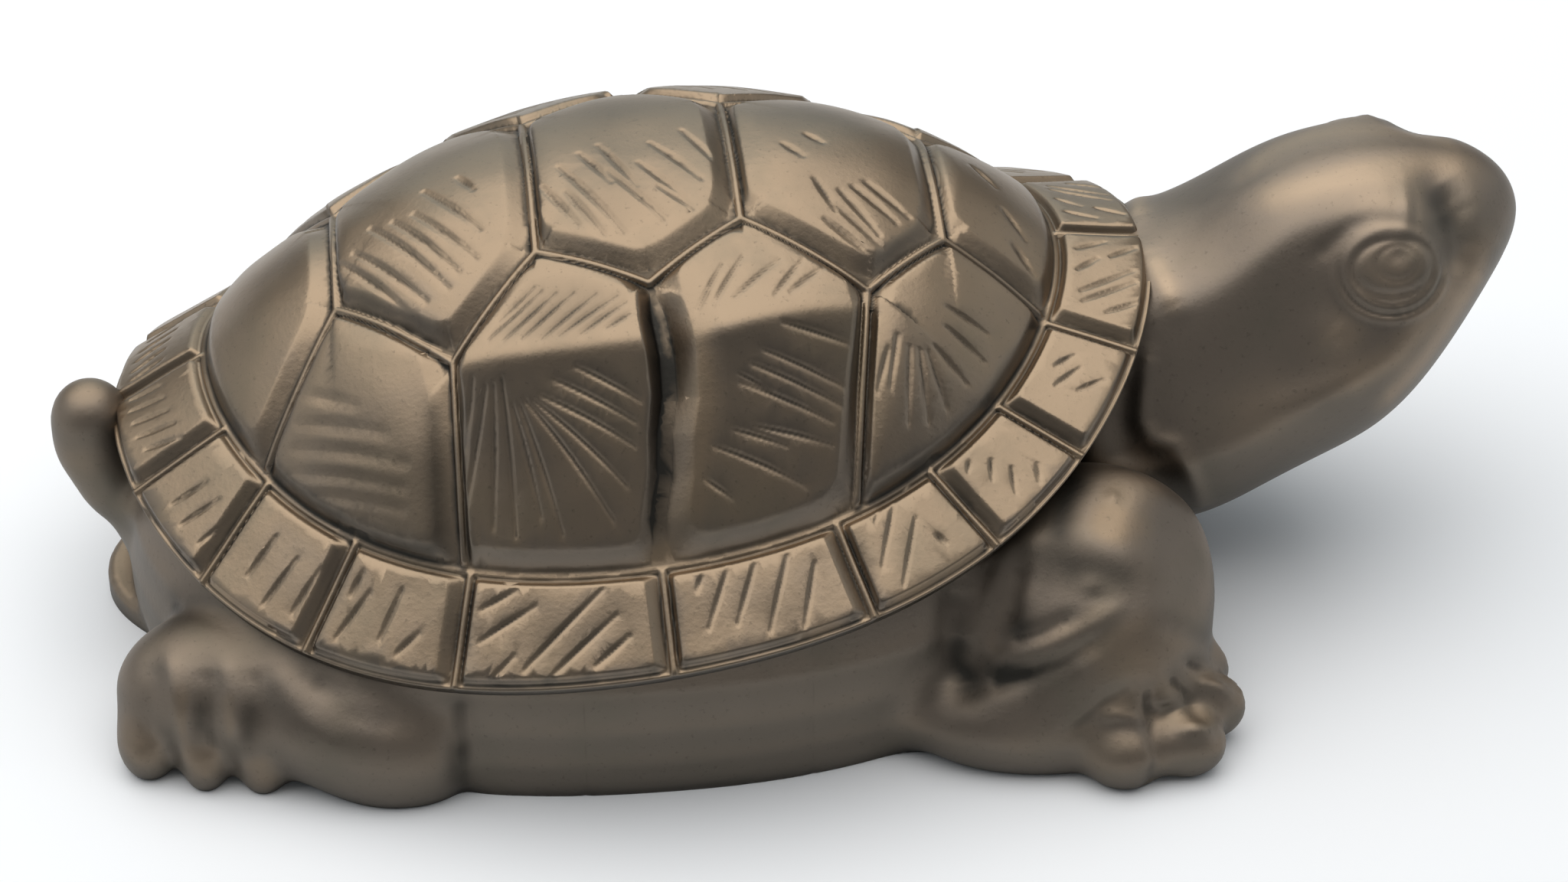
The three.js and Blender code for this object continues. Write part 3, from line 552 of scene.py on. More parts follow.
class Surface:
    """Places on the shell, with the slope there, so that lengths are measured along the surface."""

    def __init__(self, x, y):
        self.x, self.y = x, y
        self.slope_x, self.slope_y = shell_slope(x, y)

    def picked(self, mask):
        part = object.__new__(Surface)
        part.x, part.y = self.x[mask], self.y[mask]
        part.slope_x, part.slope_y = self.slope_x[mask], self.slope_y[mask]
        return part

    def to_line(self, start, end):
        """Distance to a straight run, and how far along it the nearest point lies, from 0 to 1."""
        run_x, run_y = end[0] - start[0], end[1] - start[1]
        off_x, off_y = self.x - start[0], self.y - start[1]
        rise_run = self.slope_x * run_x + self.slope_y * run_y
        rise_off = self.slope_x * off_x + self.slope_y * off_y
        length = run_x**2 + run_y**2 + rise_run**2
        along = np.clip((off_x * run_x + off_y * run_y + rise_off * rise_run) / length, 0.0, 1.0)
        off_x, off_y = off_x - along * run_x, off_y - along * run_y
        rise = self.slope_x * off_x + self.slope_y * off_y
        return np.sqrt(off_x**2 + off_y**2 + rise**2), along

    def from_share(self, share):
        """Signed distance from the ellipse with this share of the half axes, outwards positive."""
        here, _ = share_and_along(self.x, self.y)
        here = np.maximum(here, 1e-6)
        out_x = self.x / SHELL_HALF_LENGTH**2 / here
        out_y = self.y / SHELL_HALF_WIDTH**2 / here
        steep = np.hypot(out_x, out_y)
        rise = (self.slope_x * out_x + self.slope_y * out_y) / np.maximum(steep, 1e-9)
        return (here - share) / np.maximum(steep, 1e-9) * np.sqrt(1.0 + rise**2)


def bevel(value):
    """The section of a plate's edge: a straight slope with its foot and brink rounded."""
    return 0.15 * smoothstep(value) + 0.85 * np.clip(value * 1.06 - 0.03, 0.0, 1.0)


def bead(distance):
    half, high = BEAD
    return high * np.sqrt(1.0 - np.clip(distance / half, 0.0, 1.0) ** 2)


def dome_seams():
    lines = [(CORNERS[a], CORNERS[b]) for a, b in SEAMS]
    lines += [(CORNERS[name], on_ellipse(RING_AT, turn)) for name, turn in SEAM_TO_RING.items()]
    lines += [((CORNERS[name][0], 0.0), CORNERS[name]) for name in "fedg"]
    return lines


def inside_outline(x, y, outline):
    """Whether each place lies in an outline, by the number of its sides that a ray crosses."""
    inside = np.zeros(x.shape, dtype=bool)
    for (x0, y0), (x1, y1) in zip(outline, outline[1:] + outline[:1]):
        if y0 == y1:
            continue
        crossing = x0 + (y - y0) * (x1 - x0) / (y1 - y0)
        inside ^= ((y0 > y) != (y1 > y)) & (x < crossing)
    return inside


def lifted(x, y, lift):
    """Where a point of the shell's section at x comes to when it is lifted off the bare surface."""
    slope_x, slope_y = shell_slope(x, y)
    long = np.sqrt(1.0 + slope_x**2 + slope_y**2)
    return y - slope_y / long * lift, shell_height(x, y) + lift / long


def channel_x(y):
    return np.interp(y, *zip(*((y, x) for x, y in MIDDLE_CHANNEL)))


def crease_lift(surface):
    """Gives each creased side plate two flat faces that meet in a ridge."""
    lift = np.zeros_like(surface.x)
    outline = [CORNERS[name] for name in "adbec"]
    outline += [on_ellipse(RING_AT, turn) for turn in np.linspace(SEAM_TO_RING["c"], SEAM_TO_RING["a"], 9)]
    within = inside_outline(surface.x, surface.y, outline)
    before = surface.x > channel_x(surface.y)
    for side, (ridge, upper) in zip((before, ~before), CREASED_PLATES):
        inside = within & side
        part = surface.picked(inside)
        x, y = part.x, part.y
        top = lifted(x, np.interp(x, *zip(*ridge)), PLATE_LIFT + CREASE_LIFT)
        foot = SHELL_HALF_WIDTH * np.sqrt(CREASE_FOOT**2 - (x / SHELL_HALF_LENGTH) ** 2)
        long = np.sqrt(1.0 + part.slope_x**2 + part.slope_y**2)
        lifts = []
        for end in (lifted(x, np.full_like(x, upper), PLATE_LIFT), lifted(x, foot, PLATE_LIFT - 0.1)):
            fall = (top[1] - end[1]) / (end[0] - top[0])
            above = top[1] - fall * (y - top[0]) - shell_height(x, y)
            lifts.append(above / (1.0 / long - fall * part.slope_y / long))
        lift[inside] = np.clip(soft_minimum(lifts, CREASE_SOFT) - PLATE_LIFT, -1.0, 2.0)
    return lift


def from_seam(surface, start, end, wide):
    """Distance from a seam, and from the foot of the plate beside it in widths of its sloping edge."""
    distance, _ = surface.to_line(start, end)
    across_x, across_y = start[1] - end[1], end[0] - start[0]
    if across_x * GENTLE_SIDE[0] + across_y * GENTLE_SIDE[1] < 0:
        across_x, across_y = -across_x, -across_y
    outside = (surface.x - start[0]) * across_x + (surface.y - start[1]) * across_y > 0
    return distance, (distance - CHANNEL_HALF) / np.where(outside, NARROW_WALL, wide)


def dome_relief(surface, crease_share):
    """Height of the dome's plates and beads over the bare surface, and how much of it is plate."""
    seams = [from_seam(surface, *line, WIDE_WALL) for line in dome_seams()]
    ring = -surface.from_share(RING_AT)
    nearest = np.min([distance for distance, _ in seams], axis=0)
    channel = np.min([surface.to_line(a, b)[0] for a, b in zip(MIDDLE_CHANNEL, MIDDLE_CHANNEL[1:])], axis=0)
    walls = np.where(surface.x > channel_x(surface.y), MIDDLE_WALLS[1], MIDDLE_WALLS[0])
    channel_half = MIDDLE_HALF * smoothstep((surface.y - MIDDLE_CHANNEL[0][1] + 0.5) / 3.0)
    steps = [steps for _, steps in seams] + [(channel - channel_half) / walls]
    turn = np.degrees(np.arctan2(surface.y / SHELL_HALF_WIDTH, surface.x / SHELL_HALF_LENGTH))
    low, high = SEAM_TO_RING["c"], SEAM_TO_RING["a"]
    creased = smoothstep((turn - low) / 2.0) * smoothstep((high - turn) / 2.0)
    foot_wall = WIDE_WALL + creased * (CREASED_FOOT_WALL - WIDE_WALL)
    inner = soft_minimum(steps + [(ring - 0.15) / foot_wall], CORNER_SOFT)
    plate = bevel(inner)
    crease = crease_lift(surface)
    swell = 1.0 - np.exp(-np.maximum(inner - 1.0, 0.0) / CROWN_WIDTH)
    crown = np.where(crease == 0.0, CROWN_LIFT * swell, 0.0)
    lift = plate * (PLATE_LIFT + crown)
    fade = np.where(walls == MIDDLE_WALLS[1], bevel(steps[-1] * 0.45), bevel(steps[-1] * 0.8))
    ends = smoothstep((nearest - CHANNEL_HALF) / CREASE_END) * fade
    lift += ends * crease * crease_share
    beads = np.maximum(bead(nearest) * smoothstep(ring / 0.8), bead(ring * 1.4) * 0.7)
    return lift + beads * (1.0 - plate), plate


def rim_relief(surface):
    """The same for the rim."""
    seams = [
        from_seam(surface, on_ellipse(RING_AT, inner), on_ellipse(1.0, outer), WIDE_WALL * 0.75)
        for inner, outer in RIM_SEAMS
    ]
    ring = surface.from_share(RING_AT)
    edge = -surface.from_share(1.0)
    nearest = np.min([distance for distance, _ in seams], axis=0)
    walls = [steps for _, steps in seams] + [(ring - RIM_FOOT) / RIM_WALL, (edge - RIM_FOOT) / RIM_WALL]
    plate = bevel(soft_minimum(walls, CORNER_SOFT * 0.6))
    beads = np.maximum.reduce([bead(nearest), bead(ring * 1.4) * 0.7, bead(edge * 1.4) * 0.45])
    return plate * RIM_LIFT + beads * (1.0 - plate), plate


def engraved(surface, strokes, half=STROKE_HALF, deep=STROKE_DEEP):
    """How deep the engraver's strokes cut at each place."""
    depth = np.zeros_like(surface.x)
    for x0, y0, x1, y1 in strokes:
        reach = half + 0.4
        near = (surface.x > min(x0, x1) - reach) & (surface.x < max(x0, x1) + reach)
        near &= (surface.y > min(y0, y1) - reach) & (surface.y < max(y0, y1) + reach)
        if not near.any():
            continue
        distance, along = surface.picked(near).to_line((x0, y0), (x1, y1))
        swell = 0.55 + 0.45 * np.sin(np.clip(along * 1.15, 0, 1) * math.pi)
        cut = deep * swell * np.clip(1.0 - distance / (half * (0.6 + 0.4 * swell)), 0.0, 1.0)
        depth[near] = np.maximum(depth[near], cut)
    return depth


def hand_wobble(x, y, z):
    """A slow unevenness, from -1 to 1, as a hand-worked surface has."""
    random = np.random.default_rng(SEED)
    total = np.zeros_like(x)
    for _ in range(WOBBLE_WAVES):
        direction = random.normal(size=3)
        direction /= np.linalg.norm(direction)
        wave = random.uniform(0.7, 1.6) * 2 * math.pi / WOBBLE_SIZE
        along = direction[0] * x + direction[1] * y + direction[2] * z
        total += np.sin(wave * along + random.uniform(0, 6.28))
    return total / WOBBLE_WAVES


def rings_from_square(u, v):
    """Turns a square grid's nested squares into rings: how far out each point lies, and its turn."""
    flat = np.abs(u) >= np.abs(v)
    reach = np.where(flat, u, v)
    safe = np.where(reach == 0.0, 1.0, reach)
    turn = np.where(flat, v / safe * math.pi / 4, math.pi / 2 - u / safe * math.pi / 4)
    return reach, turn


def carapace():
    columns, rows = GRID
    bpy.ops.mesh.primitive_grid_add(x_subdivisions=columns, y_subdivisions=rows, size=2)
    shell = bpy.context.object
    shell.name = "carapace"
    grid = vertices_of(shell)
    u, v = grid[:, 0], grid[:, 1]
    reach, turn = rings_from_square(u, v)
    x = SHELL_HALF_LENGTH * reach * np.cos(turn)
    y = SHELL_HALF_WIDTH * reach * np.sin(turn)
    half = Surface(x, np.abs(y))
    whole = Surface(x, y)
    share, _ = share_and_along(x, y)
    dome = dome_relief(half, np.where(y > 0, FAR_CREASE, 1.0))
    lift, plate = np.where(share < RING_AT, dome, rim_relief(half))
    cuts = np.maximum(engraved(half, SIDE_STROKES), engraved(whole, SPINE_STROKES, FLUTE_HALF, FLUTE_DEEP))
    cuts = np.maximum(cuts, engraved(half, WAVES, WAVE_HALF, WAVE_DEEP)) * smoothstep((plate - 0.8) * 5.0)
    height = shell_height(x, y)
    lift = lift - cuts + WOBBLE_HIGH * hand_wobble(x, y, height)
    normal = np.stack([-whole.slope_x, -whole.slope_y, np.ones_like(x)], axis=1)
    normal /= np.linalg.norm(normal, axis=1, keepdims=True)
    places = np.stack([x, y, height], axis=1) + normal * lift[:, None]
    move_vertices(shell, places * MM)
    close_underneath(shell)
    apply_modifier(shell, "DECIMATE", ratio=SHELL_TRIANGLES / (2 * columns * rows))
    return shell


def close_underneath(shell):
    """The rim turns down over a rounded lip, and a shallow underside closes the shell."""
    open_edit(shell)
    bpy.ops.mesh.select_all(action="DESELECT")
    bpy.ops.mesh.select_non_manifold()
    middle = (0, 0, SKIRT_SIDE * MM)
    for drop, narrower in LIP_STEPS:
        extrude(0, -drop)
        bpy.ops.transform.resize(value=(narrower, narrower, 1), center_override=middle)
    extrude(0, 0)
    bpy.ops.mesh.merge(type="CENTER")
    close_edit()


# ---- body ----
def ball(place, radii):
    bpy.ops.mesh.primitive_uv_sphere_add(segments=40, ring_count=20, radius=1)
    made = bpy.context.object
    made.location = Vector(place) * MM
    made.scale = Vector(radii) * MM
    apply_place(made)
    return made


def slab(front, rear, half_width, square, levels):
    """A rounded slab: an outline drawn once and extruded upwards, narrowed at each level."""
    bpy.ops.mesh.primitive_circle_add(vertices=96, radius=1, fill_type="NGON")
    made = bpy.context.object
    ring = vertices_of(made)
    power = np.sign(ring) * np.abs(ring) ** square
    share, low = levels[0]
    length = np.where(ring[:, 0] > 0, front, rear)
    along, across = power[:, 0] * length * share, power[:, 1] * half_width * share
    places = np.stack([along, across, 0 * ring[:, 0] + low], 1)
    move_vertices(made, places * MM)
    open_edit(made)
    bpy.ops.mesh.select_all(action="SELECT")
    for (before, z0), (after, z1) in zip(levels, levels[1:]):
        extrude(0, z1 - z0)
        narrower = (after / before, after / before, 1)
        bpy.ops.transform.resize(value=narrower, center_override=(0, 0, z1 * MM))
    close_edit()
    return made


def first_ring(corners, x, z, scale):
    """A filled ring that faces along x, open in edit mode and ready to be extruded."""
    turned = (0, math.pi / 2, 0)
    bpy.ops.mesh.primitive_circle_add(vertices=corners, radius=1, fill_type="NGON", rotation=turned)
    made = bpy.context.object
    made.location = Vector((x, 0, z)) * MM
    made.scale = Vector(scale) * MM
    apply_place(made)
    open_edit(made)
    bpy.ops.mesh.select_all(action="SELECT")
    return made


def tail():
    """A ring swept back and up through the tail's stations."""
    x, z, radius = TAIL_STATIONS[0]
    made = first_ring(24, x, z, (radius, radius, radius))
    lean = 0.0
    stations = TAIL_STATIONS + TAIL_END
    for before, after in zip(stations, stations[1:]):
        step = (after[0] - before[0], after[1] - before[1])
        extrude(*step)
        wanted = math.atan2(step[1], -step[0])
        centre = (after[0] * MM, 0, after[1] * MM)
        bpy.ops.transform.rotate(value=lean - wanted, orient_axis="Y", center_override=centre)
        bpy.ops.transform.resize(value=(after[2] / before[2],) * 3, center_override=centre)
        lean = wanted
    close_edit()
    return made


def melt(first, second, width):
    """Joins two solids, given as distances, with a fillet of about this width."""
    share = np.clip(0.5 + 0.5 * (second - first) / width, 0.0, 1.0)
    return second + (first - second) * share - width * share * (1.0 - share)


def egg(place, centre, radii):
    """Distance from a rounded mass, negative inside it."""
    offset = (place - np.array(centre)) / np.array(radii)
    far = np.linalg.norm(offset, axis=1)
    steep = np.linalg.norm(offset / np.array(radii), axis=1)
    return far * (far - 1.0) / np.maximum(steep, 1e-6)


def outline_distance(place, front, rear, half_width, square, share):
    x, y, _ = place.T
    power = 2.0 / square
    length = np.where(x > 0, front, rear)
    ratio = ((np.abs(x) / length) ** power + (np.abs(y) / half_width) ** power) ** (1.0 / power)
    return (ratio - share) * np.hypot(x, y) / np.maximum(ratio, 1e-6)


def trunk_distance(place):
    levels = np.array(BODY_LEVELS)
    z = place[:, 2]
    share = np.interp(z, levels[:, 1], levels[:, 0])
    wall = outline_distance(place, BODY_FRONT, BODY_REAR, BODY_HALF_WIDTH, BODY_SQUARE, share)
    plastron = outline_distance(place, BODY_FRONT - 1, PLASTRON_REAR, PLASTRON_HALF_WIDTH, 1.0, 1.0)
    return melt(np.maximum(wall, z - levels[-1, 1]), np.maximum(plastron, z - PLASTRON_TOP), PLASTRON_MELT)


def front_leg_distance(place):
    leg = egg(place, *SHOULDER)
    for point, direction in SHOULDER_FACETS:
        leg = -melt(-leg, -(place - np.array(point)) @ np.array(direction), FACET_MELT)
    for mass in ARM:
        leg = melt(leg, egg(place, *mass), LIMB_MELT)
    for toe in FRONT_TOES:
        leg = melt(leg, egg(place, *toe), FRONT_TOE_MELT)
    return leg


def rear_leg_distance(place):
    leg = egg(place, *THIGH[0])
    for mass in THIGH[1:]:
        leg = melt(leg, egg(place, *mass), LIMB_MELT)
    for toe in REAR_TOES:
        leg = melt(leg, egg(place, *toe), REAR_TOE_MELT)
    return leg


def tail_distance(place):
    stations = np.array(TAIL_STATIONS)
    steps = np.linspace(0, len(stations) - 1, 13)
    found = np.full(len(place), 1e3)
    for x, z, radius in zip(*(np.interp(steps, range(len(stations)), column) for column in stations.T)):
        ball_distance = np.linalg.norm(place - np.array((x, 0, z)), axis=1) - radius
        found = melt(found, ball_distance, TAIL_JOINT_MELT)
    return found


def body_distance(place):
    place = place.copy()
    place[:, 1] = np.abs(place[:, 1])
    found = melt(trunk_distance(place), front_leg_distance(place), SHOULDER_MELT)
    found = melt(found, rear_leg_distance(place), THIGH_MELT)
    return melt(found, tail_distance(place), TAIL_MELT)


def settle(obj, distance):
    """Moves each point onto the solid that the distance describes, so that masses melt together."""
    places = vertices_of(obj) / MM
    for _ in range(SETTLE_ROUNDS):
        here = distance(places)
        ahead = [distance(places + SETTLE_STEP * axis) for axis in np.eye(3)]
        slope = np.stack([(there - here) / SETTLE_STEP for there in ahead], axis=1)
        move = here[:, None] * slope / np.maximum(np.sum(slope**2, axis=1), 0.2)[:, None]
        length = np.linalg.norm(move, axis=1)[:, None]
        places = places - move * np.minimum(1.0, SETTLE_REACH / np.maximum(length, 1e-9))
    move_vertices(obj, places * MM)


def path_distance(points, path):
    """Distance of flat points from a path of straight runs, and how far from its ends they lie."""
    if len(path) == 1:
        return np.linalg.norm(points - path[0], axis=1), np.full(len(points), 1e3)
    nearest, inward = np.full(len(points), 1e3), np.zeros(len(points))
    lengths = np.linalg.norm(np.diff(path, axis=0), axis=1)
    passed = 0.0
    for start, end, length in zip(path, path[1:], lengths):
        run = end - start
        along = np.clip((points - start) @ run / (run @ run), 0.0, 1.0)
        distance = np.linalg.norm(points - start - along[:, None] * run, axis=1)
        gone = passed + along * length
        inward = np.where(distance < nearest, np.minimum(gone, lengths.sum() - gone), inward)
        nearest = np.minimum(nearest, distance)
        passed += length
    return nearest, inward


def drawn_from_the_side(place):
    """Turns places into flat ones, as seen along the slant, and how near the viewer they are."""
    slant = np.array(SLANT)
    upwards = np.array((0.0, -slant[2], slant[1]))
    place = np.stack([place[:, 0], np.abs(place[:, 1]), place[:, 2]], axis=1)
    return np.stack([place[:, 0], place @ upwards], axis=1), place @ slant


def drawn_on(obj, marks):
    """Adds up marks that are drawn on the surface from the side, alike on both sides."""
    places, normals = vertices_of(obj) / MM, normals_of(obj)
    flat, near = drawn_from_the_side(places)
    outwards = np.stack([normals[:, 0], normals[:, 1] * np.sign(places[:, 1]), normals[:, 2]], axis=1)
    facing = outwards @ np.array(SLANT)
    total = np.zeros(len(places))
    for amount, width, path in marks:
        flat_path, path_near = drawn_from_the_side(np.array(path))
        distance, inward = path_distance(flat, flat_path)
        same_depth = smoothstep((4.5 - np.abs(near - path_near.mean())) / 1.5 + 1.0)
        ends = smoothstep(0.5 + inward / width / 2)
        total += amount * np.exp(-((distance / width) ** 2)) * ends * same_depth
    return total * smoothstep(facing / 0.3)


def work_marks(obj, marks):
    """Raises or sinks the surface along each mark."""
    lift = drawn_on(obj, marks)
    move_vertices(obj, vertices_of(obj) + normals_of(obj) * lift[:, None] * MM)


def press_flat(obj, point, direction):
    """Presses both sides of a piece in to a flat face."""
    places = vertices_of(obj) / MM
    side = np.where(places[:, 1] < 0, -1.0, 1.0)
    outwards = np.array(direction) / np.linalg.norm(direction)
    folded = np.stack([places[:, 0], places[:, 1] * side, places[:, 2]], axis=1)
    beyond = PRESS_SOFT * np.logaddexp(0.0, (folded - np.array(point)) @ outwards / PRESS_SOFT)
    folded -= beyond[:, None] * outwards
    folded[:, 1] *= side
    move_vertices(obj, folded * MM)


def body():
    parts = [slab(BODY_FRONT, BODY_REAR, BODY_HALF_WIDTH, BODY_SQUARE, BODY_LEVELS), tail()]
    levels = ((1.0, -1.0), (1.0, PLASTRON_TOP - 0.3), (0.97, PLASTRON_TOP))
    parts.append(slab(BODY_FRONT - 1, PLASTRON_REAR, PLASTRON_HALF_WIDTH, 1.0, levels))
    for side in (1, -1):
        for centre, radii in (SHOULDER,) + ARM + FRONT_TOES + THIGH + REAR_TOES:
            parts.append(ball(mirrored(centre, side), radii))
    made = join("body", parts)
    apply_modifier(made, "REMESH", mode="VOXEL", voxel_size=VOXEL["body"] * MM)
    settle(made, body_distance)
    apply_modifier(made, "SMOOTH", factor=0.5, iterations=3)
    work_marks(made, BODY_MARKS)
    flatten_underside(made)
    return made


def flatten_underside(obj):
    open_edit(obj)
    bpy.ops.mesh.select_all(action="SELECT")
    bpy.ops.mesh.bisect(plane_co=(0, 0, 0), plane_no=(0, 0, 1), clear_inner=True)
    bpy.ops.mesh.select_all(action="DESELECT")
    bpy.ops.mesh.select_non_manifold()
    bpy.ops.mesh.fill()
    close_edit()


# ---- head ----
def head():
    """Rings lofted from the neck to the nose, rounded, then pressed flat at the sides and marked."""
    x, z, wide, high = HEAD_STATIONS[0]
    made = first_ring(32, x, z, (high, wide, 1))
    for before, after in zip(HEAD_STATIONS, HEAD_STATIONS[1:]):
        extrude(after[0] - before[0], after[1] - before[1])
        wider = (1, after[2] / before[2], after[3] / before[3])
        bpy.ops.transform.resize(value=wider, center_override=(after[0] * MM, 0, after[1] * MM))
    extrude(NOSE_TIP - after[0], 0)
    bpy.ops.mesh.merge(type="CENTER")
    close_edit()
    made.name = "head"
    apply_modifier(made, "SUBSURF", levels=3, render_levels=3)
    apply_modifier(made, "REMESH", mode="VOXEL", voxel_size=VOXEL["head"] * MM)
    apply_modifier(made, "SMOOTH", factor=0.5, iterations=12)
    press_flat(made, *HEAD_SIDE)
    work_marks(made, HEAD_MARKS)
    set_eyes(made)
    return made


def eye_ring(name, distance, share=1.0):
    high, at, half = EYE_RINGS[name]
    return high * share * np.exp(-(((distance - at) / half) ** 2))


def set_eyes(obj):
    """Swells each eye and cuts its lids in rings, from the ball outwards."""
    places, normals = vertices_of(obj) / MM, normals_of(obj)
    flat, near = drawn_from_the_side(places)
    centre, centre_near = drawn_from_the_side(np.array([EYE]))
    offset = (flat - centre[0]) / np.array(EYE_HALF_SIZE)
    ring = np.linalg.norm(offset, axis=1)
    lower = smoothstep(0.5 - offset[:, 1] * 1.2)
    swell = EYE_SWELL * np.exp(-((ring / EYE_SWELL_REACH) ** 4))
    almond = np.hypot(offset[:, 0], offset[:, 1] * ALMOND_SQUASH - ALMOND_RISE) / ALMOND_REACH
    lift = swell + BALL_RISE * np.clip(1.0 - almond**2, 0.0, 1.0)
    lift = lift + eye_ring("ball", almond) + eye_ring("lid", ring)
    lift = lift + eye_ring("lower groove", ring, lower) + eye_ring("outer lid", ring, lower)
    lift = lift + eye_ring("pupil", np.hypot(offset[:, 0] - PUPIL[0], offset[:, 1] - PUPIL[1]))
    lift = lift + eye_ring("iris", np.hypot(offset[:, 0] - IRIS[0], offset[:, 1] - IRIS[1]))
    lift = lift + eye_ring("fold", ring, lower)
    facing = np.abs(normals[:, 1]) * SLANT[1] + normals[:, 2] * SLANT[2]
    same_depth = smoothstep((4.0 - np.abs(near - centre_near[0])) / 1.5)
    lift *= smoothstep(facing / 0.3) * same_depth
    move_vertices(obj, (places + normals * lift[:, None]) * MM)


# ---- materials ----
class Socket:
    """A shader value that takes part in Python arithmetic, adding the Math nodes it needs."""

    def __init__(self, tree, output):
        self.tree, self.output = tree, output

    def _math(self, operation, first, second):
        node = self.tree.nodes.new("ShaderNodeMath")
        node.operation = operation
        for place, value in enumerate((first, second)):
            if isinstance(value, Socket):
                self.tree.links.new(value.output, node.inputs[place])
            else:
                node.inputs[place].default_value = value
        return Socket(self.tree, node.outputs[0])

    def __add__(self, other):
        return self._math("ADD", self, other)

    __radd__ = __add__

    def __sub__(self, other):
        return self._math("SUBTRACT", self, other)

    def __rsub__(self, other):
        return self._math("SUBTRACT", other, self)

    def __mul__(self, other):
        return self._math("MULTIPLY", self, other)

    __rmul__ = __mul__

    def clamped(self):
        made = self._math("ADD", self, 0.0)
        made.output.node.use_clamp = True
        return made


class Shader:
    """A material's node tree."""

    def __init__(self, name):
        self.material = bpy.data.materials.new(name)
        self.material.use_nodes = True
        self.tree = self.material.node_tree
        self.surface = self.tree.nodes["Principled BSDF"]

    def node(self, kind, settings=None, inputs=None, output=0):
        node = self.tree.nodes.new(kind)
        for name, value in (settings or {}).items():
            setattr(node, name, value)
        for name, value in (inputs or {}).items():
            self.feed(node.inputs[name], value)
        return Socket(self.tree, node.outputs[output])

    def feed(self, socket, value):
        if isinstance(value, Socket):
            self.tree.links.new(value.output, socket)
        else:
            socket.default_value = value

    def mix(self, share, first, second):
        node = self.tree.nodes.new("ShaderNodeMix")
        node.data_type = "RGBA"
        self.feed(node.inputs["Factor"], share)
        self.feed(node.inputs["A"], first)
        self.feed(node.inputs["B"], second)
        return Socket(self.tree, node.outputs["Result"])

    def noise(self, scale, detail, roughness=0.5):
        place = self.node("ShaderNodeTexCoord", output="Object")
        return self.node(
            "ShaderNodeTexNoise",
            inputs={"Vector": place, "Scale": scale, "Detail": detail, "Roughness": roughness},
        )

    def ramp(self, value, low, high):
        return self.node(
            "ShaderNodeMapRange", {"clamp": True}, {"Value": value, "From Min": low, "From Max": high}
        )


def bronze(name, rubbed_and_lit_from, rubbed_and_lit_to, rough, dirty, rubbed_and_highlight_colour):
    """Satin bronze: rubbed light where hands reach it and where it faces up, partly a painted highlight;
    dull and darker on its flanks, partly painted shade; dark patina in its hollows; painted highlights and
    shade from the strokes.
    """
    shader = Shader(name)
    proud = shader.node("ShaderNodeAttribute", {"attribute_name": "proud"}, output="Fac")
    upward = shader.node("ShaderNodeAttribute", {"attribute_name": "upward"}, output="Fac")
    patches = shader.noise(PATCH_SCALE, 4.0, 0.6)
    grains = shader.noise(GRAIN_SCALE, 2.0, 0.6)
    painted_light = shader.node("ShaderNodeAttribute", {"attribute_name": "painted_light"}, output="Fac")
    # rubbed where it faces up: wear, and partly a painted highlight from above
    rubbed_and_lit = shader.ramp(upward + (patches - 0.5) * 0.5, rubbed_and_lit_from, rubbed_and_lit_to)
    # together with the painted highlights of the strokes and of the edges' tops
    rubbed_and_highlit = (rubbed_and_lit + shader.ramp(painted_light, 0.0, 1.0)).clamped()
    hollow = 1 - shader.ramp(proud, 0.0, 0.4)
    green = shader.ramp(patches, 0.5, 0.75) * 0.3
    # duller and darker as it faces down: partly painted shade on the flanks and underneath
    flanks = shader.mix(shader.ramp(upward, 0.05, 0.5), DULL_AND_SHADED_BRONZE, BROWN_BRONZE)
    metal = shader.mix(rubbed_and_highlit, flanks, rubbed_and_highlight_colour)
    tinted = shader.mix(green, metal, GREEN_PATINA)
    # dark patina in the hollows, plus the painted shade of the strokes and of the edges' undersides, less
    # where they paint highlights
    patina_and_shade = hollow * dirty + shader.ramp(painted_light, 0.0, -1.0) - shader.ramp(painted_light, 0.0, 1.0) * 0.7
    colour = shader.mix(patina_and_shade.clamped(), tinted, DARK_PATINA_AND_SHADE)
    speckled = shader.mix(shader.ramp(grains, 0.62, 0.78) * 0.3, colour, DARK_PATINA_AND_SHADE)
    shader.feed(shader.surface.inputs["Base Color"], speckled)
    shader.feed(shader.surface.inputs["Metallic"], 1.0)
    shader.feed(shader.surface.inputs["Roughness"], (rough + hollow * 0.15 + patches * 0.08).clamped())
    height = grains * 0.6 + shader.noise(PIT_SCALE, 2.0) * 0.4
    relief = {"Strength": BUMP_STRENGTH, "Distance": BUMP_DISTANCE, "Height": height}
    bump = shader.node("ShaderNodeBump", inputs=relief, output="Normal")
    shader.feed(shader.surface.inputs["Normal"], bump)
    return shader.material


def neighbour_mean(obj, values, rounds):
    """Evens values out over the mesh, each point with those it shares an edge with."""
    edges = np.empty(len(obj.data.edges) * 2, dtype=np.int64)
    obj.data.edges.foreach_get("vertices", edges)
    first, second = edges[0::2], edges[1::2]
    both, others = np.concatenate([first, second]), np.concatenate([second, first])
    count = 1.0 + np.bincount(both, minlength=len(values))
    for _ in range(rounds):
        columns = [np.bincount(both, weights=column[others], minlength=len(values)) for column in values.T]
        values = (values + np.stack(columns, axis=1)) / count[:, None]
    return values


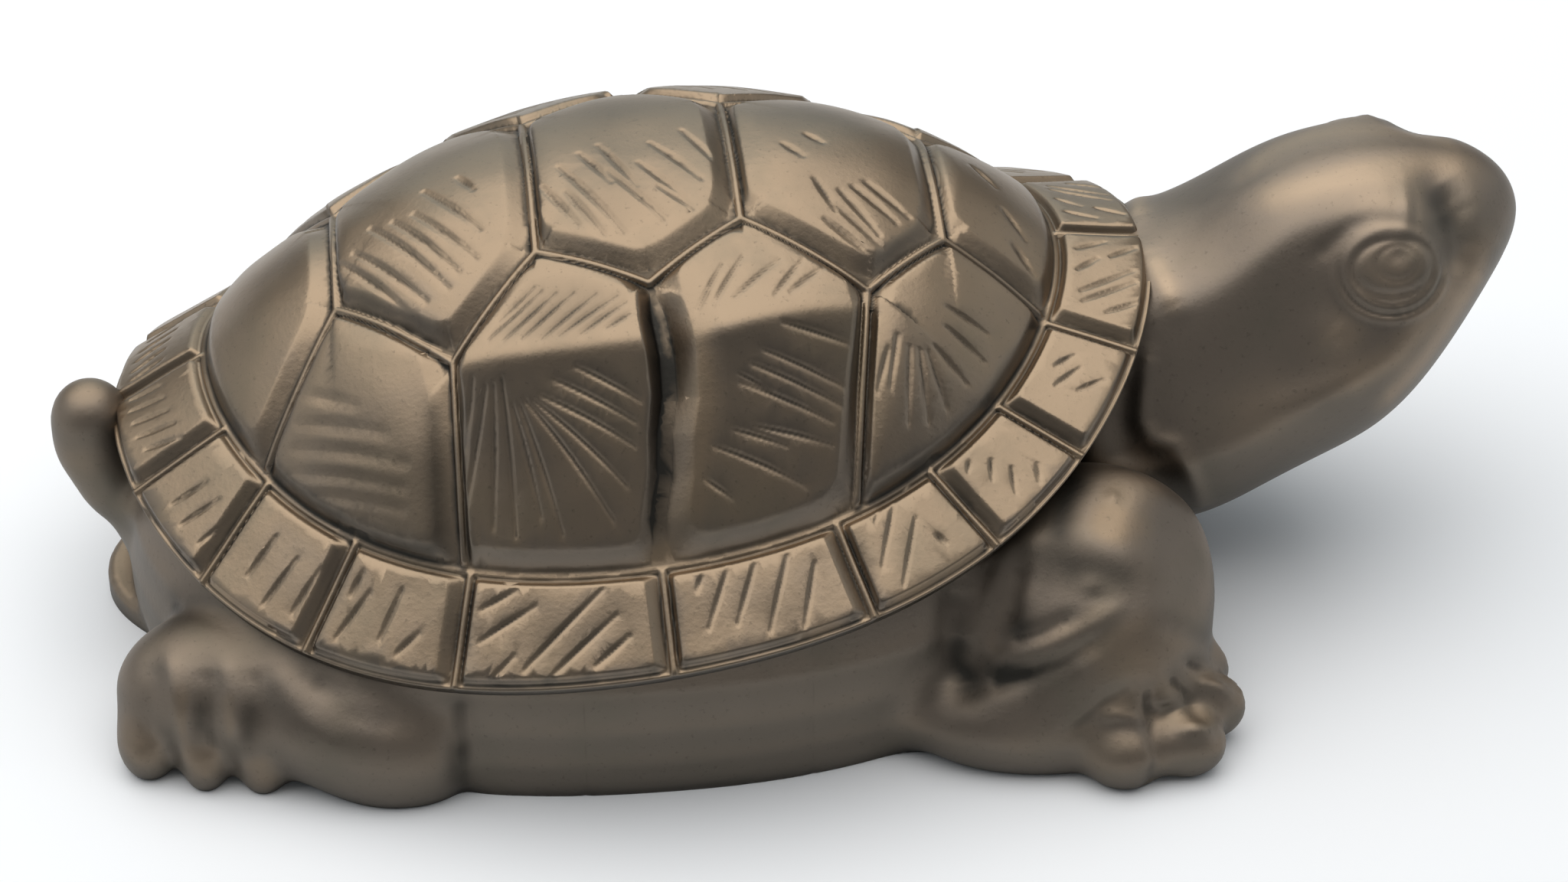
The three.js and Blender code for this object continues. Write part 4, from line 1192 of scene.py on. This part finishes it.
def note_wear_and_shading(obj, reach, painted_strokes):
    """Writes how far each place stands proud, how much it faces upwards, and its painted highlights and
    shade.
    """
    places, normals = vertices_of(obj) / MM, normals_of(obj)
    level = neighbour_mean(obj, places, reach)
    proud = np.einsum("ij,ij->i", places - level, normals)
    write_attribute(obj, "proud", np.clip(0.5 + proud * PROUD_SCALE, 0.0, 1.0))
    upward = neighbour_mean(obj, normals[:, 2:], 3)[:, 0]
    write_attribute(obj, "upward", np.clip(upward, 0.0, 1.0))
    # a place that faces more upwards than the surface round it gets a painted highlight, and one that faces
    # less gets painted shade
    broad = neighbour_mean(obj, upward[:, None], reach * 6)[:, 0]
    leaning = np.clip(upward - broad, -0.6, 0.3)
    write_attribute(obj, "painted_light", np.clip(drawn_on(obj, painted_strokes) + leaning * EDGE_HIGHLIGHT_AND_SHADE, -1.0, 1.0))


# ---- studio ----
def camera():
    turn, rise = math.radians(AZIMUTH), math.radians(ELEVATION)
    back = Vector((math.sin(turn) * math.cos(rise), -math.cos(turn) * math.cos(rise), math.sin(rise)))
    data = bpy.data.cameras.new("camera")
    data.lens = LENS
    data.sensor_width = SENSOR
    data.clip_start = 0.01
    made = bpy.data.objects.new("camera", data)
    bpy.context.collection.objects.link(made)
    made.location = (Vector(AIM) + back * DISTANCE) * MM
    made.rotation_euler = back.to_track_quat("Z", "Y").to_euler()
    bpy.context.scene.camera = made
    bpy.context.scene.view_settings.view_transform = "Standard"


def panel(name, place, aim, size, brightness, colour):
    """A soft light panel; its brightness is the white it would show in a mirror."""
    data = bpy.data.lights.new(name, "AREA")
    data.shape = "RECTANGLE"
    data.size, data.size_y = size
    data.energy = brightness * math.pi * size[0] * size[1]
    data.color = colour
    made = bpy.data.objects.new(name, data)
    bpy.context.collection.objects.link(made)
    made.location = place
    made.rotation_euler = (Vector(place) - Vector(aim)).to_track_quat("Z", "Y").to_euler()
    made.visible_camera = False


def studio():
    bpy.ops.mesh.primitive_plane_add(size=FLOOR_SIZE, location=(0, 0, 0))
    floor = bpy.context.object
    floor.name = "floor"
    shader = Shader("pale floor")
    shader.feed(shader.surface.inputs["Base Color"], FLOOR_COLOUR)
    shader.feed(shader.surface.inputs["Roughness"], FLOOR_ROUGH)
    floor.data.materials.append(shader.material)
    world = bpy.data.worlds.new("studio")
    world.use_nodes = True
    background = world.node_tree.nodes["Background"]
    background.inputs["Color"].default_value = WORLD_COLOUR
    background.inputs["Strength"].default_value = WORLD_STRENGTH
    bpy.context.scene.world = world
    for values in PANELS:
        panel(*values)


def finish(piece, material):
    only(piece)
    piece.data.materials.clear()
    piece.data.materials.append(material)
    bpy.ops.object.shade_smooth()
    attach(piece, "root")
    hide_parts("turtle")


deselect()
camera()
studio()

shell = carapace()
note_wear_and_shading(shell, SHELL_WEAR_AND_SHADE_REACH, SHELL_PAINTED_LIGHT)
finish(shell, bronze("shell bronze", *SHELL_LOOK))
trunk = body()
note_wear_and_shading(trunk, BODY_WEAR_AND_SHADE_REACH, BODY_PAINTED_LIGHT)
finish(trunk, bronze("body bronze", *BODY_LOOK))
neck = head()
note_wear_and_shading(neck, BODY_WEAR_AND_SHADE_REACH, HEAD_PAINTED_LIGHT)
finish(neck, bronze("head bronze", *HEAD_LOOK))
